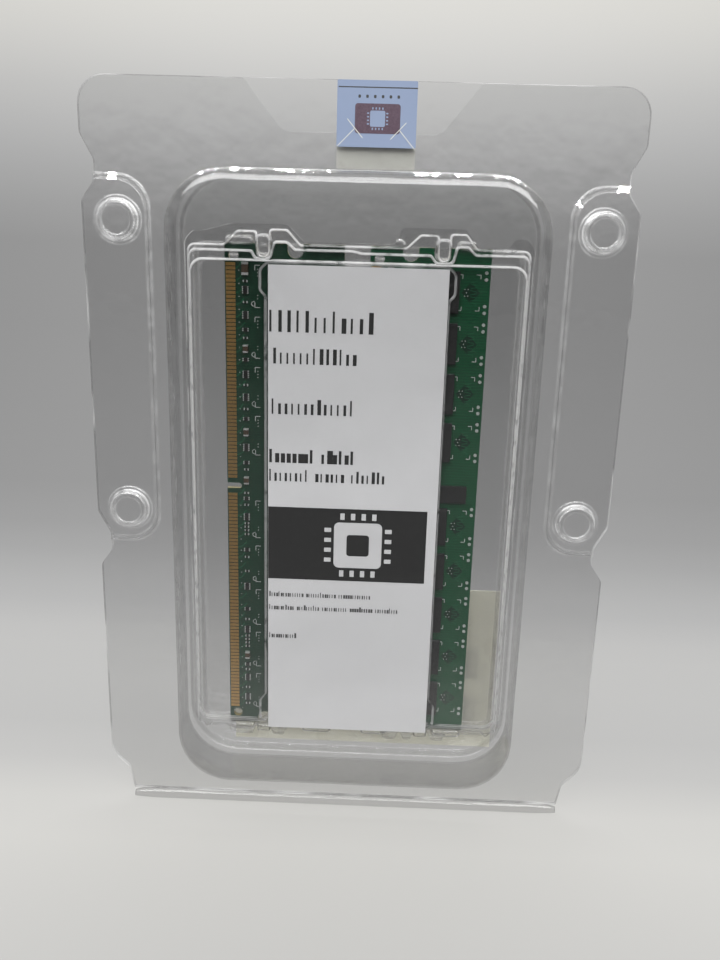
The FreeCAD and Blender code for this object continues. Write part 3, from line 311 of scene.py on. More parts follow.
def formed_sheet(name, outline, level, features, thick, materials, rear=False, wave=RIPPLE, cell=6.0):
    """A sheet formed to a height over its plan. Its given face is the front, or with rear the back."""
    flat, faces, tags = sheet_plan(outline, features, cell)
    depth, glow = sheet_depth(flat, tags, features)
    points = np.column_stack((flat[:, 0], level + depth, flat[:, 1]))
    if rear:
        faces = [face[::-1] for face in faces]
    used = sorted({i for face in faces for i in face})
    place = {old: new for new, old in enumerate(used)}
    points, glow = points[used], glow[used]
    faces = [[place[i] for i in face] for face in faces]
    points += vertex_normals(points, faces) * ripple(points, wave)[:, None]
    normals = vertex_normals(points, faces)
    count = len(points)
    other = [[i + count for i in reversed(face)] for face in faces]
    rim = [[b, a, a + count, b + count] for a, b in open_sides(faces)]
    every = np.vstack((points, points - normals * thick))
    piece = mesh_piece(name, every.tolist(), faces + other + rim, materials, smooth=True)
    mesh = piece.data
    corner_normals = []
    for polygon in mesh.polygons:
        is_rim = len(polygon.vertices) == 4
        if is_rim:
            polygon.material_index = 1
            polygon.use_smooth = False
        for v in polygon.vertices:
            normal = normals[v % count] * (1 if v < count else -1)
            corner_normals.append((0, 0, 0) if is_rim else tuple(normal))
    mesh.normals_split_custom_set(corner_normals)
    # Each point's share of painted highlight, a white scatter on the bends.
    scatter = mesh.attributes.new("bend_painted_highlight", "FLOAT", "POINT")
    scatter.data.foreach_set("value", np.tile(glow, 2).astype(np.float32))
    return piece


def plates(name, paths, front, back, materials):
    """Thin flat plates with those outlines, between two y values."""
    points, faces = [], []
    for path in paths:
        first, count = len(points), len(path)
        points += [(x, front, z) for x, z in path] + [(x, back, z) for x, z in path]
        faces.append(list(range(first, first + count)))
        faces.append(list(range(first + 2 * count - 1, first + count - 1, -1)))
        for i in range(count):
            j = (i + 1) % count
            faces.append([first + j, first + i, first + count + i, first + count + j])
    return mesh_piece(name, points, faces, materials)


# --------------------------------------------------------------------------------------
# Materials
# --------------------------------------------------------------------------------------
class Shader:
    """A material's node tree, built node by node."""

    def __init__(self, name):
        self.material = bpy.data.materials.new(name)
        self.material.use_nodes = True
        self.tree = self.material.node_tree
        self.tree.nodes.clear()

    def node(self, kind, inputs=(), **settings):
        made = self.tree.nodes.new("ShaderNode" + kind)
        for key, value in settings.items():
            setattr(made, key, value)
        for key, value in dict(inputs).items():
            if isinstance(value, bpy.types.NodeSocket):
                self.tree.links.new(value, made.inputs[key])
            else:
                made.inputs[key].default_value = value
        return made

    def maths(self, operation, a, b=0.0):
        return self.node("Math", {0: a, 1: b}, operation=operation).outputs[0]

    def noise(self, scale, detail=3.0, rough=0.5):
        place = self.node("NewGeometry").outputs["Position"]
        inputs = {"Vector": place, "Scale": scale, "Detail": detail, "Roughness": rough}
        return self.node("TexNoise", inputs).outputs["Fac"]

    def ramp(self, value, stops):
        """A colour for each value: stops are (place, colour)."""
        made = self.node("ValToRGB", {"Fac": value})
        stops = list(stops)
        elements = made.color_ramp.elements
        while len(elements) < len(stops):
            elements.new(0.5)
        for element, (place, colour) in zip(elements, stops):
            element.position = place
            element.color = (*colour, 1.0)
        return made.outputs["Color"]

    def blend(self, share, a, b):
        return self.node("MixRGB", {"Fac": share, "Color1": a, "Color2": b}).outputs["Color"]

    def bump(self, height, strength, reach):
        inputs = {"Height": height, "Strength": strength, "Distance": reach}
        return self.node("Bump", inputs).outputs["Normal"]

    def done(self, surface):
        self.node("OutputMaterial", {"Surface": surface})
        return self.material


def grey(value):
    return (value, value, value)


def opaque(value):
    return (*value, 1.0)


def painted_light_shader(s, brightness):
    """White plastic for painted light: painted highlights on the bends and painted piped light on cut
    edges. It sends back light from in front and from behind.
    """
    tone = opaque(grey(brightness))
    front = s.node("BsdfDiffuse", {"Color": tone}).outputs[0]
    behind = s.node("BsdfTranslucent", {"Color": tone}).outputs[0]
    return s.node("MixShader", {0: 0.4, 1: front, 2: behind}).outputs[0]


def clear_plastic(name, face_on, aslant, rough=0.03, bump=0.25, dashes=(0.4, 0.6), dome_painted_shade=None):
    """Clear sheet: light goes straight through. At a slant it mirrors more and darkens.

    A white scatter is painted on the bends as a highlight, stronger in some places than others.
    The drawn face of the blister, well in front of the flange, can have painted shade, darker towards
    its top.
    """
    s = Shader(name)
    facing = s.node("LayerWeight", {"Blend": 0.5}).outputs["Facing"]
    mirror = s.maths("ADD", s.maths("MULTIPLY", s.maths("POWER", facing, 5.0), 0.96), 0.04)
    straight = opaque(face_on)
    relief = bump
    # Painted shade: the drawn face of the blister is tinted darker towards its top.
    if dome_painted_shade:
        place = s.node("SeparateXYZ", {0: s.node("NewGeometry").outputs["Position"]}).outputs
        drawn = s.node("MapRange", {0: place[1], 1: 0.0, 2: -0.006, 3: 0.0, 4: 1.0}).outputs[0]
        high = s.node("MapRange", {0: place[2], 1: 0.10, 2: 0.165, 3: 0.35, 4: 1.0}).outputs[0]
        straight = s.blend(s.maths("MULTIPLY", drawn, high), opaque(face_on), opaque(dome_painted_shade))
        relief = s.maths("ADD", s.maths("MULTIPLY", s.maths("MULTIPLY", drawn, facing), 5 * bump), bump)
    tint = s.blend(s.maths("POWER", facing, 2.0), straight, opaque(aslant))
    through = s.node("BsdfTransparent", {"Color": tint}).outputs[0]
    uneven = s.bump(s.noise(150.0, 2.0), relief, 0.0006)
    gloss = {"Color": opaque(grey(1.0)), "Roughness": rough, "Normal": uneven}
    shine = s.node("BsdfGlossy", gloss).outputs[0]
    clear = s.node("MixShader", {0: mirror, 1: through, 2: shine}).outputs[0]
    # Painted highlight on the bends: white scatter by each point's share, broken up by noise.
    glow = s.node("Attribute", attribute_name="bend_painted_highlight").outputs["Fac"]
    broken = s.node("MapRange", {0: s.noise(330.0, 1.0), 1: dashes[0], 2: dashes[1], 3: 0.3, 4: 1.0})
    share = s.maths("MULTIPLY", glow, broken.outputs[0])
    return s.done(s.node("MixShader", {0: share, 1: clear, 2: painted_light_shader(s, 0.95)}).outputs[0])


def clear_edge(name, tint, whiteness):
    """The cut edge of a clear sheet, dense in places. In others, light piped along the sheet is painted
    on as white patches.
    """
    s = Shader(name)
    through = s.node("BsdfTransparent", {"Color": opaque(grey(tint))}).outputs[0]
    shine = s.node("BsdfGlossy", {"Color": opaque(grey(0.9)), "Roughness": 0.2}).outputs[0]
    dense = s.node("MixShader", {0: 0.15, 1: through, 2: shine}).outputs[0]
    # Painted light: white patches where light piped along the sheet comes out.
    spots = {0: s.noise(60.0, 2.0), 1: 0.45, 2: 0.6, 3: 0.08, 4: whiteness}
    patches = s.node("MapRange", spots).outputs[0]
    return s.done(s.node("MixShader", {0: patches, 1: dense, 2: painted_light_shader(s, 0.95)}).outputs[0])


def plain_surface(name, dark, light, rough, scale=300.0, bump=0.2, reach=0.0001, **extra):
    """An opaque surface that varies between two colours, with a fine uneven relief."""
    s = Shader(name)
    colour = s.blend(s.noise(scale), opaque(dark), opaque(light))
    inputs = {
        "Base Color": colour,
        "Roughness": rough,
        "Normal": s.bump(s.noise(scale * 6.0), bump, reach),
    }
    inputs.update(extra)
    return s.done(s.node("BsdfPrincipled", inputs).outputs[0])


def board_material(name, dark, light):
    """Green solder mask on the faces, with faint copper under it, and bare laminate on the edges."""
    s = Shader(name)
    geometry = s.node("NewGeometry")
    place, normal = geometry.outputs["Position"], geometry.outputs["Normal"]
    split = s.node("SeparateXYZ", {0: normal})
    is_face = s.maths("GREATER_THAN", s.maths("ABSOLUTE", split.outputs[1]), 0.7)
    mask = s.blend(s.noise(160.0, 4.0), opaque(dark), opaque(light))
    wave = {"Vector": place, "Scale": 420.0, "Distortion": 3.0, "Detail": 2.0, "Detail Scale": 0.6}
    lines = s.node("TexWave", wave, bands_direction="Z").outputs["Fac"]
    copper = s.maths("MULTIPLY", s.maths("GREATER_THAN", lines, 0.72), 0.35)
    mask = s.blend(copper, mask, opaque([c * 1.7 for c in light]))
    edge = s.blend(s.noise(900.0), opaque((0.20, 0.17, 0.06)), opaque((0.34, 0.29, 0.12)))
    inputs = {
        "Base Color": s.blend(is_face, edge, mask),
        "Roughness": 0.28,
        "Normal": s.bump(lines, 0.15, 0.00004),
    }
    return s.done(s.node("BsdfPrincipled", inputs).outputs[0])


def paper_material(name, low, high, crease=0.35, lets_through=0.0):
    """Paper: faint clouding, soft creases and a fine tooth. Thin paper lets some light through."""
    s = Shader(name)
    cloud = s.blend(s.noise(24.0, 3.0), opaque(low), opaque(high))
    folds = s.bump(s.noise(38.0, 2.0, 0.35), crease, 0.004)
    tooth = {"Height": s.noise(2600.0), "Strength": 0.25, "Distance": 0.00003, "Normal": folds}
    normal = s.node("Bump", tooth).outputs["Normal"]
    inputs = {"Base Color": cloud, "Roughness": 0.62, "Normal": normal, "Specular IOR Level": 0.35}
    surface = s.node("BsdfPrincipled", inputs).outputs[0]
    if lets_through:
        behind = s.node("BsdfTranslucent", {"Color": cloud}).outputs[0]
        surface = s.node("MixShader", {0: lets_through, 1: surface, 2: behind}).outputs[0]
    return s.done(surface)


def make_materials():
    return {
        "sheet": clear_plastic("clear_sheet", grey(0.955), grey(0.55)),
        # The front sheet carries painted shade, darker towards the blister's top, and painted light: it
        # is lighter at a slant than the back sheet.
        "front_sheet": clear_plastic("clear_front_sheet", grey(0.955), grey(0.62),
                                     dome_painted_shade=grey(0.82)),
        "tray": clear_plastic("clear_tray", grey(0.975), grey(0.6), rough=0.05, bump=0.4,
                              dashes=(0.25, 0.45)),
        "bead": clear_plastic("clear_bead", grey(0.88), grey(0.5), rough=0.1, bump=0.8),
        "edge": clear_edge("clear_sheet_edge", 0.35, 0.5),
        "tray_edge": clear_edge("clear_tray_edge", 0.6, 0.9),
        "paper": paper_material("leaflet_paper", (0.62, 0.62, 0.63), (0.70, 0.70, 0.71)),
        "pages": paper_material("leaflet_pages", (0.55, 0.55, 0.55), (0.66, 0.66, 0.66)),
        "ink": plain_surface("leaflet_ink", grey(0.012), grey(0.02), 0.45, 900.0),
        "ink_soft": plain_surface("leaflet_small_ink", grey(0.05), grey(0.08), 0.5, 900.0),
        "seal": paper_material("seal_paper", (0.135, 0.175, 0.26), (0.18, 0.22, 0.31), 0.2),
        "seal_back": paper_material("seal_underside", (0.42, 0.42, 0.38), (0.52, 0.52, 0.48), 0.2),
        "maroon": plain_surface("seal_patch", (0.03, 0.012, 0.025), (0.075, 0.045, 0.065), 0.4, 2500.0),
        "label": paper_material("label_paper", (0.86, 0.85, 0.76), (0.95, 0.94, 0.86), 0.1, 0.35),
        "label_ink": plain_surface("label_ink", grey(0.28), grey(0.34), 0.5, 900.0),
        "board_a": board_material("solder_mask_a", (0.004, 0.028, 0.014), (0.006, 0.045, 0.022)),
        "board_b": board_material("solder_mask_b", (0.004, 0.055, 0.022), (0.007, 0.085, 0.034)),
        "trace": plain_surface("masked_copper", (0.012, 0.11, 0.05), (0.02, 0.15, 0.07), 0.3, 700.0),
        "via_field": plain_surface("dark_mask", (0.003, 0.02, 0.01), (0.006, 0.04, 0.02), 0.3, 3000.0),
        "silk": plain_surface("white_legend", grey(0.6), grey(0.75), 0.6, 1500.0),
        "gold": plain_surface("contact_gold", (0.66, 0.38, 0.12), (0.85, 0.52, 0.19), 0.3, 900.0,
                              Metallic=0.9),
        "mould": plain_surface("chip_mould", grey(0.009), grey(0.016), 0.5, 1200.0, 0.4),
        "mark": plain_surface("laser_mark", grey(0.05), grey(0.07), 0.7, 1500.0),
        "substrate": plain_surface("chip_substrate", (0.008, 0.05, 0.03), (0.012, 0.07, 0.04), 0.5),
        "solder": plain_surface("solder", grey(0.7), grey(0.85), 0.3, 1500.0, 0.5, Metallic=0.6),
        "resistor": plain_surface("resistor_glaze", grey(0.01), grey(0.02), 0.35, 1500.0),
        "capacitor": plain_surface("capacitor", (0.05, 0.03, 0.018), (0.10, 0.065, 0.04), 0.4, 1500.0),
    }


M = make_materials()


# --------------------------------------------------------------------------------------
# Clamshell
# --------------------------------------------------------------------------------------
def shell_outline(cut=()):
    """The flange: hinge end, side waists and rounded top. cut is the right half of a cut in its top."""
    waist = HALF - 3.2
    side = [
        (62.0, BEAD_TOP, 0.5), (63.2, 9.2, 2.7), (HALF, 14.2, 8.0),
        (HALF, 73.0, 2.5), (waist, 77.5, 2.5), (waist, 82.5, 2.5), (HALF, 88.5, 2.5),
        (HALF, 168.5, 2.5), (waist, 173.0, 2.5), (waist, 178.0, 2.5), (HALF, 184.0, 2.5),
        (HALF, TOP, 8.0),
    ]
    return mirrored(side + list(cut))


def panels(inner, low, high, radius, step):
    """The stepped side panels, which run out over the flange's edges."""
    rows = fold(step, 20.0, 0.22, 0.2, 3, glow=0.12)
    right = box(inner, low, HALF + 14.0, high, radius)
    left = box(-HALF - 14.0, low, -inner, high, radius)
    return [(right, rows), (left, rows)]


def front_shell():
    dome = box(-45.8, 15.0, 45.8, 176.6, 14.5)
    features = [(dome, fold(DOME_FACE - FRONT_FACE, 2.0, 0.6, 3.2, 6, 6, 0.04))]
    features += panels(51.6, 80.0, 175.0, 8.0, -PANEL_STEP)
    for x, z in BUTTONS:
        features.append((ring(x, z, 6.0), fold(-0.35, 20.0, 0.2, 0.2, 2, glow=0.12)))
        features.append((ring(x, z, 5.1), fold(-2.0, 9.0, 0.25, 0.3, 3, 2, 0.35)))
        features.append((ring(x, z, 3.6), fold(0.4, 30.0, 0.2, 0.2, 2, glow=0.12)))
    materials = [M["front_sheet"], M["edge"]]
    piece = formed_sheet("front_shell_sheet", shell_outline(), FRONT_FACE, features, SHEET, materials)
    finish_piece(piece, "front", ["front_shell"])


def back_shell():
    recess = box(-44.9, 16.2, 44.9, 175.4, 13.5)
    features = [(recess, fold(RECESS_FACE - BACK_FACE, 2.0, 0.5, 0.8, 5, 2, 0.06))]
    features += panels(52.8, 81.2, 173.8, 7.5, -PANEL_STEP)
    features += [(ring(x, z, 4.5), fold(-2.0, 9.0, 0.25, 0.3, 3, 2, 0.25)) for x, z in BUTTONS]
    outline = shell_outline([(28.4, TOP, 2.0), (19.0, TOP - 11.7, 4.0)])
    materials = [M["sheet"], M["edge"]]
    piece = formed_sheet("back_shell_sheet", outline, BACK_FACE, features, SHEET, materials, rear=True)
    finish_piece(piece, "back", ["back_shell"])


def living_hinge():
    """The bead that the two sheets bend round, flat underneath, with its ends drawn in."""
    half_deep, middle = 1.5, 6.0
    drawn_in = 8.0
    stations = 124
    points, faces = [], []
    angles = [math.pi * k / 18 for k in range(19)]
    count = len(angles)
    for i in range(stations + 1):
        x = HINGE_LOW.x + (HINGE_HIGH.x - HINGE_LOW.x) * i / stations
        from_end = min(x - HINGE_LOW.x, HINGE_HIGH.x - x)
        full = 0.6 + 0.4 * math.sqrt(min(from_end / drawn_in, 1.0))
        wave = 1 - 0.04 * (1 + math.sin(x / 2.1) * math.sin(x / 5.3))
        for angle in angles:
            y = middle + half_deep * full * wave * math.cos(angle)
            points.append((x, y, BEAD_TOP * full * wave * math.sin(angle) ** 0.7))
    for i in range(stations):
        for j in range(count):
            a, k = i * count, (j + 1) % count
            faces.append([a + j, a + count + j, a + count + k, a + k])
    faces.append(list(range(count)))
    faces.append(list(range(stations * count + count - 1, stations * count - 1, -1)))
    piece = mesh_piece("hinge_bead", points, faces, [M["bead"]], smooth=True)
    piece.data.set_sharp_from_angle(angle=math.radians(50))
    finish_piece(piece, "back", ["living_hinge"])


# --------------------------------------------------------------------------------------
# Inner tray
# --------------------------------------------------------------------------------------
RIM_LOW, RIM_HIGH = 24.4, 160.3
LOBES_BELOW = [(-30.0, 3.0), (-19.5, 1.5), (12.4, 1.6), (17.4, 1.0), (26.0, 1.6)]


def lower_edge(left, right, level, lobes, drop, radius):
    """An outline's lower side from left to right, dipping at the lobes."""
    corners = [(left, level, radius)]
    for x, half in lobes:
        corners += [
            (x - half - 0.9, level, 0.8), (x - half, level - drop, 0.9),
            (x + half, level - drop, 0.9), (x + half + 0.9, level, 0.8),
        ]
    return corners + [(right, level, radius)]


def rim_outline():
    upper = [
        (43.4, RIM_HIGH - 0.6, 3.0), (41.3, 162.0, 1.0), (38.8, 162.0, 1.0), (37.2, 159.7, 1.5),
        (29.6, 159.7, 1.2), (26.4, 164.0, 1.6), (10.6, 164.0, 1.6), (9.0, 159.9, 1.2),
        (-13.6, 159.9, 1.2), (-17.6, 164.0, 2.0), (-31.5, 164.0, 4.0), (-38.8, 162.0, 4.0),
        (-41.3, 162.0, 1.5), (-43.4, RIM_HIGH - 0.6, 3.0),
    ]
    return lower_edge(-43.4, 43.4, RIM_LOW, LOBES_BELOW, 2.3, 4.0) + upper


def step_three():
    lobes = [(-39.9, 0.6), (-28.9, 2.2), (-18.7, 1.0), (12.4, 0.8), (17.2, 0.8), (26.4, 1.2),
             (40.0, 0.5)]
    upper = [
        (42.6, 159.2, 2.0), (29.4, 159.2, 1.2), (26.6, 162.8, 1.0), (22.6, 162.8, 1.0),
        (22.4, 156.3, 1.2), (20.0, 156.3, 1.2), (19.8, 162.4, 1.0), (15.2, 162.4, 1.5),
        (11.9, 159.2, 1.2), (-14.4, 159.2, 1.2), (-17.7, 162.8, 1.2), (-22.1, 162.8, 1.0),
        (-22.4, 156.2, 1.3), (-25.0, 156.2, 1.3), (-25.3, 162.3, 1.0), (-30.2, 162.3, 1.5),
        (-33.4, 158.9, 1.5), (-42.6, 158.9, 2.0),
    ]
    return lower_edge(-42.6, 42.6, 25.5, lobes, 1.3, 3.5) + upper


def step_two():
    upper = [
        (42.2, 158.1, 2.0), (29.0, 158.1, 1.0), (27.1, 160.0, 1.2), (24.2, 160.0, 1.2),
        (23.2, 155.9, 1.0), (19.4, 155.9, 1.0), (18.0, 157.7, 0.9), (1.0, 157.7, 1.0),
        (-1.5, 158.2, 1.0), (-15.6, 158.2, 1.0), (-17.6, 160.0, 1.2), (-20.9, 160.0, 1.2),
        (-22.0, 155.9, 1.0), (-25.4, 155.9, 0.8), (-26.4, 157.7, 1.0), (-42.2, 157.7, 2.0),
    ]
    return [(-42.2, 27.0, 3.5), (42.2, 27.0, 3.5)] + upper


def leaflet_recess():
    """The recess that the leaflet lies in, with a rounded ear near each corner."""
    right = [
        (22.4, 26.0, 1.0), (22.9, 27.8, 1.0), (24.5, 28.6, 1.6), (24.5, 34.4, 1.8), (22.9, 36.4, 1.2),
        (22.9, 146.6, 1.2), (24.3, 148.2, 1.8), (24.3, 153.2, 2.0), (22.4, 154.9, 1.2),
    ]
    return mirrored(right)


def tray_cover():
    platform = box(-41.8, 28.3, 41.8, 155.5, 3.5)
    features = [
        (step_three(), fold(-0.75, 12.0, 0.24, 0.22, 3, glow=0.7)),
        (step_two(), fold(-1.15, 12.0, 0.24, 0.24, 3, glow=0.75)),
        (platform, fold(-0.95, 12.0, 0.24, 0.26, 3, glow=0.9)),
        (leaflet_recess(), fold(0.9, 14.0, 0.22, 0.22, 3, glow=0.6)),
    ]
    materials = [M["tray"], M["tray_edge"]]
    piece = formed_sheet("tray_cover_sheet", rim_outline(), 5.6, features, TRAY_SHEET, materials,
                         wave=0.07)
    finish_piece(piece, "cover", ["tray_cover"])


def tray_base():
    pocket = box(-41.4, 25.8, 41.4, 159.3, 3.0)
    features = [(pocket, fold(2.9, 8.0, 0.4, 0.5, glow=0.2))]
    for x in (-23.6, 21.1):
        for low, high in ((23.0, 29.2), (156.6, 161.4)):
            nub = box(x - 1.75, low, x + 1.75, high, 1.2)
            features.append((nub, fold(-2.7, 6.0, 0.3, 0.3, 3, glow=0.5)))
    for low, high in ((24.0, 29.0), (156.2, 161.0)):
        for x0, x1 in ((-33.0, -26.4), (-12.5, -4.6), (4.2, 11.4), (24.6, 32.4)):
            features.append((box(x0, low, x1, high, 1.0), fold(-2.0, 8.0, 0.3, 0.3, 3, glow=0.3)))
    materials = [M["tray"], M["tray_edge"]]
    piece = formed_sheet("tray_base_sheet", rim_outline(), 6.6, features, TRAY_SHEET, materials,
                         rear=True, wave=0.03)
    finish_piece(piece, "back", ["tray_base"])


# --------------------------------------------------------------------------------------
# Papers
# --------------------------------------------------------------------------------------
PLY = 0.16


def leaflet():
    """The folded cover sheet, bent round at the left, and the pages inside it."""
    low, high = LEAFLET_LOW, LEAFLET_HIGH
    bend = (high.y - low.y) / 2
    middle = low.y + bend
    arc = [math.pi / 2 + math.pi * k / 10 for k in range(11)]
    outer = [(high.x, high.y)] + [
        (low.x + bend + bend * math.cos(a), middle + bend * math.sin(a)) for a in arc
    ] + [(high.x, low.y)]
    inner = [(high.x, high.y - PLY)] + [
        (low.x + bend + (bend - PLY) * math.cos(a), middle + (bend - PLY) * math.sin(a)) for a in arc
    ] + [(high.x, low.y + PLY)]
    section = outer + inner[::-1]
    rows = 64
    points, faces = [], []
    for i in range(rows + 1):
        z = low.z + (high.z - low.z) * i / rows
        points += [(x, y, z) for x, y in section]
    count = len(section)
    for i in range(rows):
        for j in range(count):
            k = (j + 1) % count
            a = i * count
            faces.append([a + j, a + k, a + count + k, a + count + j])
    half = count // 2
    for j in range(half - 1):
        quad = [j, count - 1 - j, count - 2 - j, j + 1]
        faces.append(quad)
        faces.append([rows * count + q for q in reversed(quad)])
    piece = mesh_piece("leaflet_cover_sheet", points, faces, [M["paper"]], smooth=True)
    piece.data.set_sharp_from_angle(angle=math.radians(40))
    finish_piece(piece, "leaflet", ["leaflet_cover"])
    pages = []
    for number in range(3):
        side = high.x - 0.35 - 0.18 * number
        y = low.y + PLY + 0.012 + number * 0.108
        pages.append(plates(f"leaflet_page_{number + 1}",
                            [rounded(box(low.x + 0.5, low.z + 0.2, side, high.z - 0.2), 12.0)],
                            y, y + 0.09, [M["pages"]]))
    finish_piece(pages[0], "leaflet", ["leaflet_pages"])
    for page in pages[1:]:
        finish_piece(page, "leaflet")


def word_bars(left, right, top, tall, words, line=0.16):
    """Plain upright blocks in place of a line of words, with gaps between the words.

    A thin block's width is a share of the line's height.
    """
    thick, pitch = tall * line, tall * 0.42
    count = round((right - left) / pitch)
    gaps = {round(count * k / words) for k in range(1, words)}
    bars = []
    for k in range(count):
        if k in gaps:
            continue
        x = left + pitch * k
        high = top if k == 0 or luck.random() < 0.25 else top - 0.3 * tall
        wide = thick * luck.choice((1.0, 1.0, 1.6, 2.2))
        bars.append(rounded(box(x, top - tall, x + wide, high)))
    return bars


def leaflet_print():
    """Blocks for the leaflet's lines of print, and its black band with a plain chip pictogram."""
    left = LEAFLET_LOW.x + 0.4
    y = LEAFLET_LOW.y
    lines = word_bars(left, 5.8, 143.4, 5.4, 1, 0.1) + word_bars(left + 1.0, 1.7, 134.0, 4.0, 1, 0.11)
    lines += word_bars(left + 0.6, 0.3, 121.0, 4.0, 1, 0.11)
    lines += word_bars(left, 0.9, 107.7, 3.6, 2, 0.19) + word_bars(left, 8.6, 102.3, 3.2, 3, 0.12)
    band = [rounded(box(left - 0.3, 71.6, 20.1, 92.0, 0.1))]
    small = word_bars(left, 6.0, 67.9, 1.5, 3) + word_bars(left, 13.2, 64.0, 1.5, 5)
    small += word_bars(left, -14.1, 55.6, 1.5, 1)
    ink = plates("leaflet_bars", lines + band, y - 0.02, y - 0.002, [M["ink"]])
    fine = plates("leaflet_fine_bars", small, y - 0.02, y - 0.002, [M["ink_soft"]])
    sign = plates("leaflet_pictogram", chip_sign(1.9, 81.8, 6.4), y - 0.035, y - 0.021, [M["paper"]])
    core = plates("leaflet_pictogram_core", [rounded(box(-1.1, 78.8, 4.9, 84.8, 0.8))],
                  y - 0.05, y - 0.036, [M["ink"]])
    for piece in (ink, fine, sign, core):
        finish_piece(piece, "leaflet")


def chip_sign(x, z, half):
    """A plain pictogram of a chip: a rounded square with four short legs on each side."""
    leg_start, leg_end, leg_half = half * 1.12, half * 1.4, half * 0.09
    paths = [rounded(box(x - half, z - half, x + half, z + half, half * 0.22))]
    for k in range(4):
        along = half * (-0.66 + 0.44 * k)
        for side in (-1, 1):
            left, right = sorted((x + side * leg_start, x + side * leg_end))
            paths.append(rounded(box(left, z + along - leg_half, right, z + along + leg_half, 0.1)))
            low, high = sorted((z + side * leg_start, z + side * leg_end))
            paths.append(rounded(box(x + along - leg_half, low, x + along + leg_half, high, 0.1)))
    return paths


def seals():
    """The paper seal's two halves. The front one has a plain patch, a line, and cuts at its corners."""
    low, high = node_box("seal_front")
    face = FRONT_FACE - PAPER_PROUD
    flap = plates("seal_front_flap", [rounded(box(low.x, low.z, high.x, high.z - 0.1, 0.3))],
                  face, FRONT_FACE - PAPER_PROUD / 2, [M["seal"]])
    patch = plates("seal_patch", [rounded(box(-1.7, 185.4, 9.1, 192.1, 0.7))],
                   face - INK_THICK, face, [M["maroon"]])
    sign = plates("seal_sign", chip_sign(3.7, 188.75, 1.8), face - 2 * INK_THICK,
                  face - INK_THICK, [M["seal"]])
    rule = [box_path(low.x + 0.3, high.z - 1.8, high.x, high.z - 1.55)]
    rule += [rounded(box(-1.0 + 1.85 * k, 193.3, -0.4 + 1.85 * k, 194.0, 0.2)) for k in range(6)]
    line = plates("seal_rule", rule, face - INK_THICK, face, [M["ink"]])
    cuts = [strip([(-5.8, 182.4), (-1.8, 186.4)], 0.16), strip([(-3.5, 188.6), (0.2, 184.4)], 0.16),
            strip([(12.8, 182.0), (8.9, 186.4)], 0.16), strip([(10.6, 188.0), (6.9, 184.2)], 0.16)]
    slits = plates("seal_cuts", cuts, face - 3 * INK_THICK, face - 2 * INK_THICK, [M["seal_back"]])
    finish_piece(flap, "front", ["seal_front"])
    for piece in (patch, sign, line, slits):
        finish_piece(piece, "front")
    low, high = node_box("seal_rear")
    flap = plates("seal_rear_flap", [rounded(box(low.x, low.z, high.x, high.z - 0.1, 0.3))],
                  BACK_FACE + PAPER_PROUD / 2, BACK_FACE + PAPER_PROUD, [M["seal_back"]])
    finish_piece(flap, "back", ["seal_rear"])


def box_path(x0, z0, x1, z1):
    return [(x0, z0), (x1, z0), (x1, z1), (x0, z1)]


def rear_label_print():
    """Plain bars on the back label."""
    low, high = node_box("rear_label")
    bars = []
    for row in range(7):
        top = high.z - 5.0 - row * 5.6
        bars += word_bars(low.x + 4.0, low.x + 30.0, top, 1.6, 3)
    x = low.x + 38.0
    while x < high.x - 5.0:
        wide = luck.choice((0.3, 0.5, 0.8))
        bars.append(box_path(x, low.z + 6.0, x + wide, low.z + 16.0))
        bars.append(box_path(x, low.z + 22.0, x + wide, low.z + 32.0))
        x += wide + luck.choice((0.35, 0.6))
    piece = plates("rear_label_bars", bars, high.y - 0.01, high.y, [M["label_ink"]])
    finish_piece(piece, "back")


# --------------------------------------------------------------------------------------
# Modules
# --------------------------------------------------------------------------------------
def corner_mark(u, v, right, up, arm=1.0, line=0.17):
    """A legend corner: two thin arms from (u, v)."""
    flat = box_path(min(u, u + right * arm), v - line / 2, max(u, u + right * arm), v + line / 2)
    tall = box_path(u - line / 2, min(v, v + up * arm), u + line / 2, max(v, v + up * arm))
    return [flat, tall]


def legend(centre):
    """White marks round one memory package's place."""
    marks = []
    for up in (-1, 1):
        marks += corner_mark(7.6, centre + up * 5.2, 1, -up, 1.3)
        marks += corner_mark(23.1, centre + up * 4.4, -1, -up, 1.0)
        marks += corner_mark(27.6, centre + up * 4.4, -1, -up, 1.0)
    arc = [math.pi / 2 + math.pi * k / 8 for k in range(9)]
    moon = [(7.5 + 0.75 * math.cos(a), centre - 4.3 + 0.62 * math.sin(a)) for a in arc]
    marks.append(strip(moon, 0.15))
    return marks


def via_field(centre):
    """A dark diamond of close vias beside one memory package's place."""
    middle, wide, tall = 25.3, 2.3, 2.6
    return [[(middle - wide, centre), (middle, centre - tall), (middle + wide, centre),
             (middle, centre + tall)]]


def via_dots(centre):
    places = [(23.8, -0.8), (24.6, -0.8), (24.2, 0.0), (23.8, 0.8), (24.6, 0.8)]
    places += [(10.9, k * 0.7) for k in (-4, -3, -2, 2, 3, 4)]
    places += [(8.3, k) for k in (4.2, 3.4, 2.6, -2.2, -3.0)]
    places += [(3.6, k * 3.2) for k in (-1.8, -0.8, 0.2, 1.2)]
    return [disc(u, centre + v, 0.13, 8) for u, v in places]


def finger_traces():
    """Copper that rises in a curve from every third contact."""
    lines = []
    first, key_gap, below_key = 5.175, 5.0, 64
    for number in range(120):
        v = first + number + (key_gap if number >= below_key else 0.0)
        if number % 3:
            continue
        reach = 1.6 + 0.9 * luck.random()
        curve = [(2.6 + reach * t / 6, v + 1.7 * (t / 6) ** 2.2) for t in range(7)]
        lines.append(strip(curve, 0.22))
    return lines


def serpentine(centre):
    """A length-matching trace beside a memory package."""
    points = []
    for k in range(9):
        u = 25.3 if k % 2 else 26.7
        v = centre - 3.2 + k * 0.75
        points += [(u, v), (u, v + 0.5)]
    return [strip(points, 0.16)]


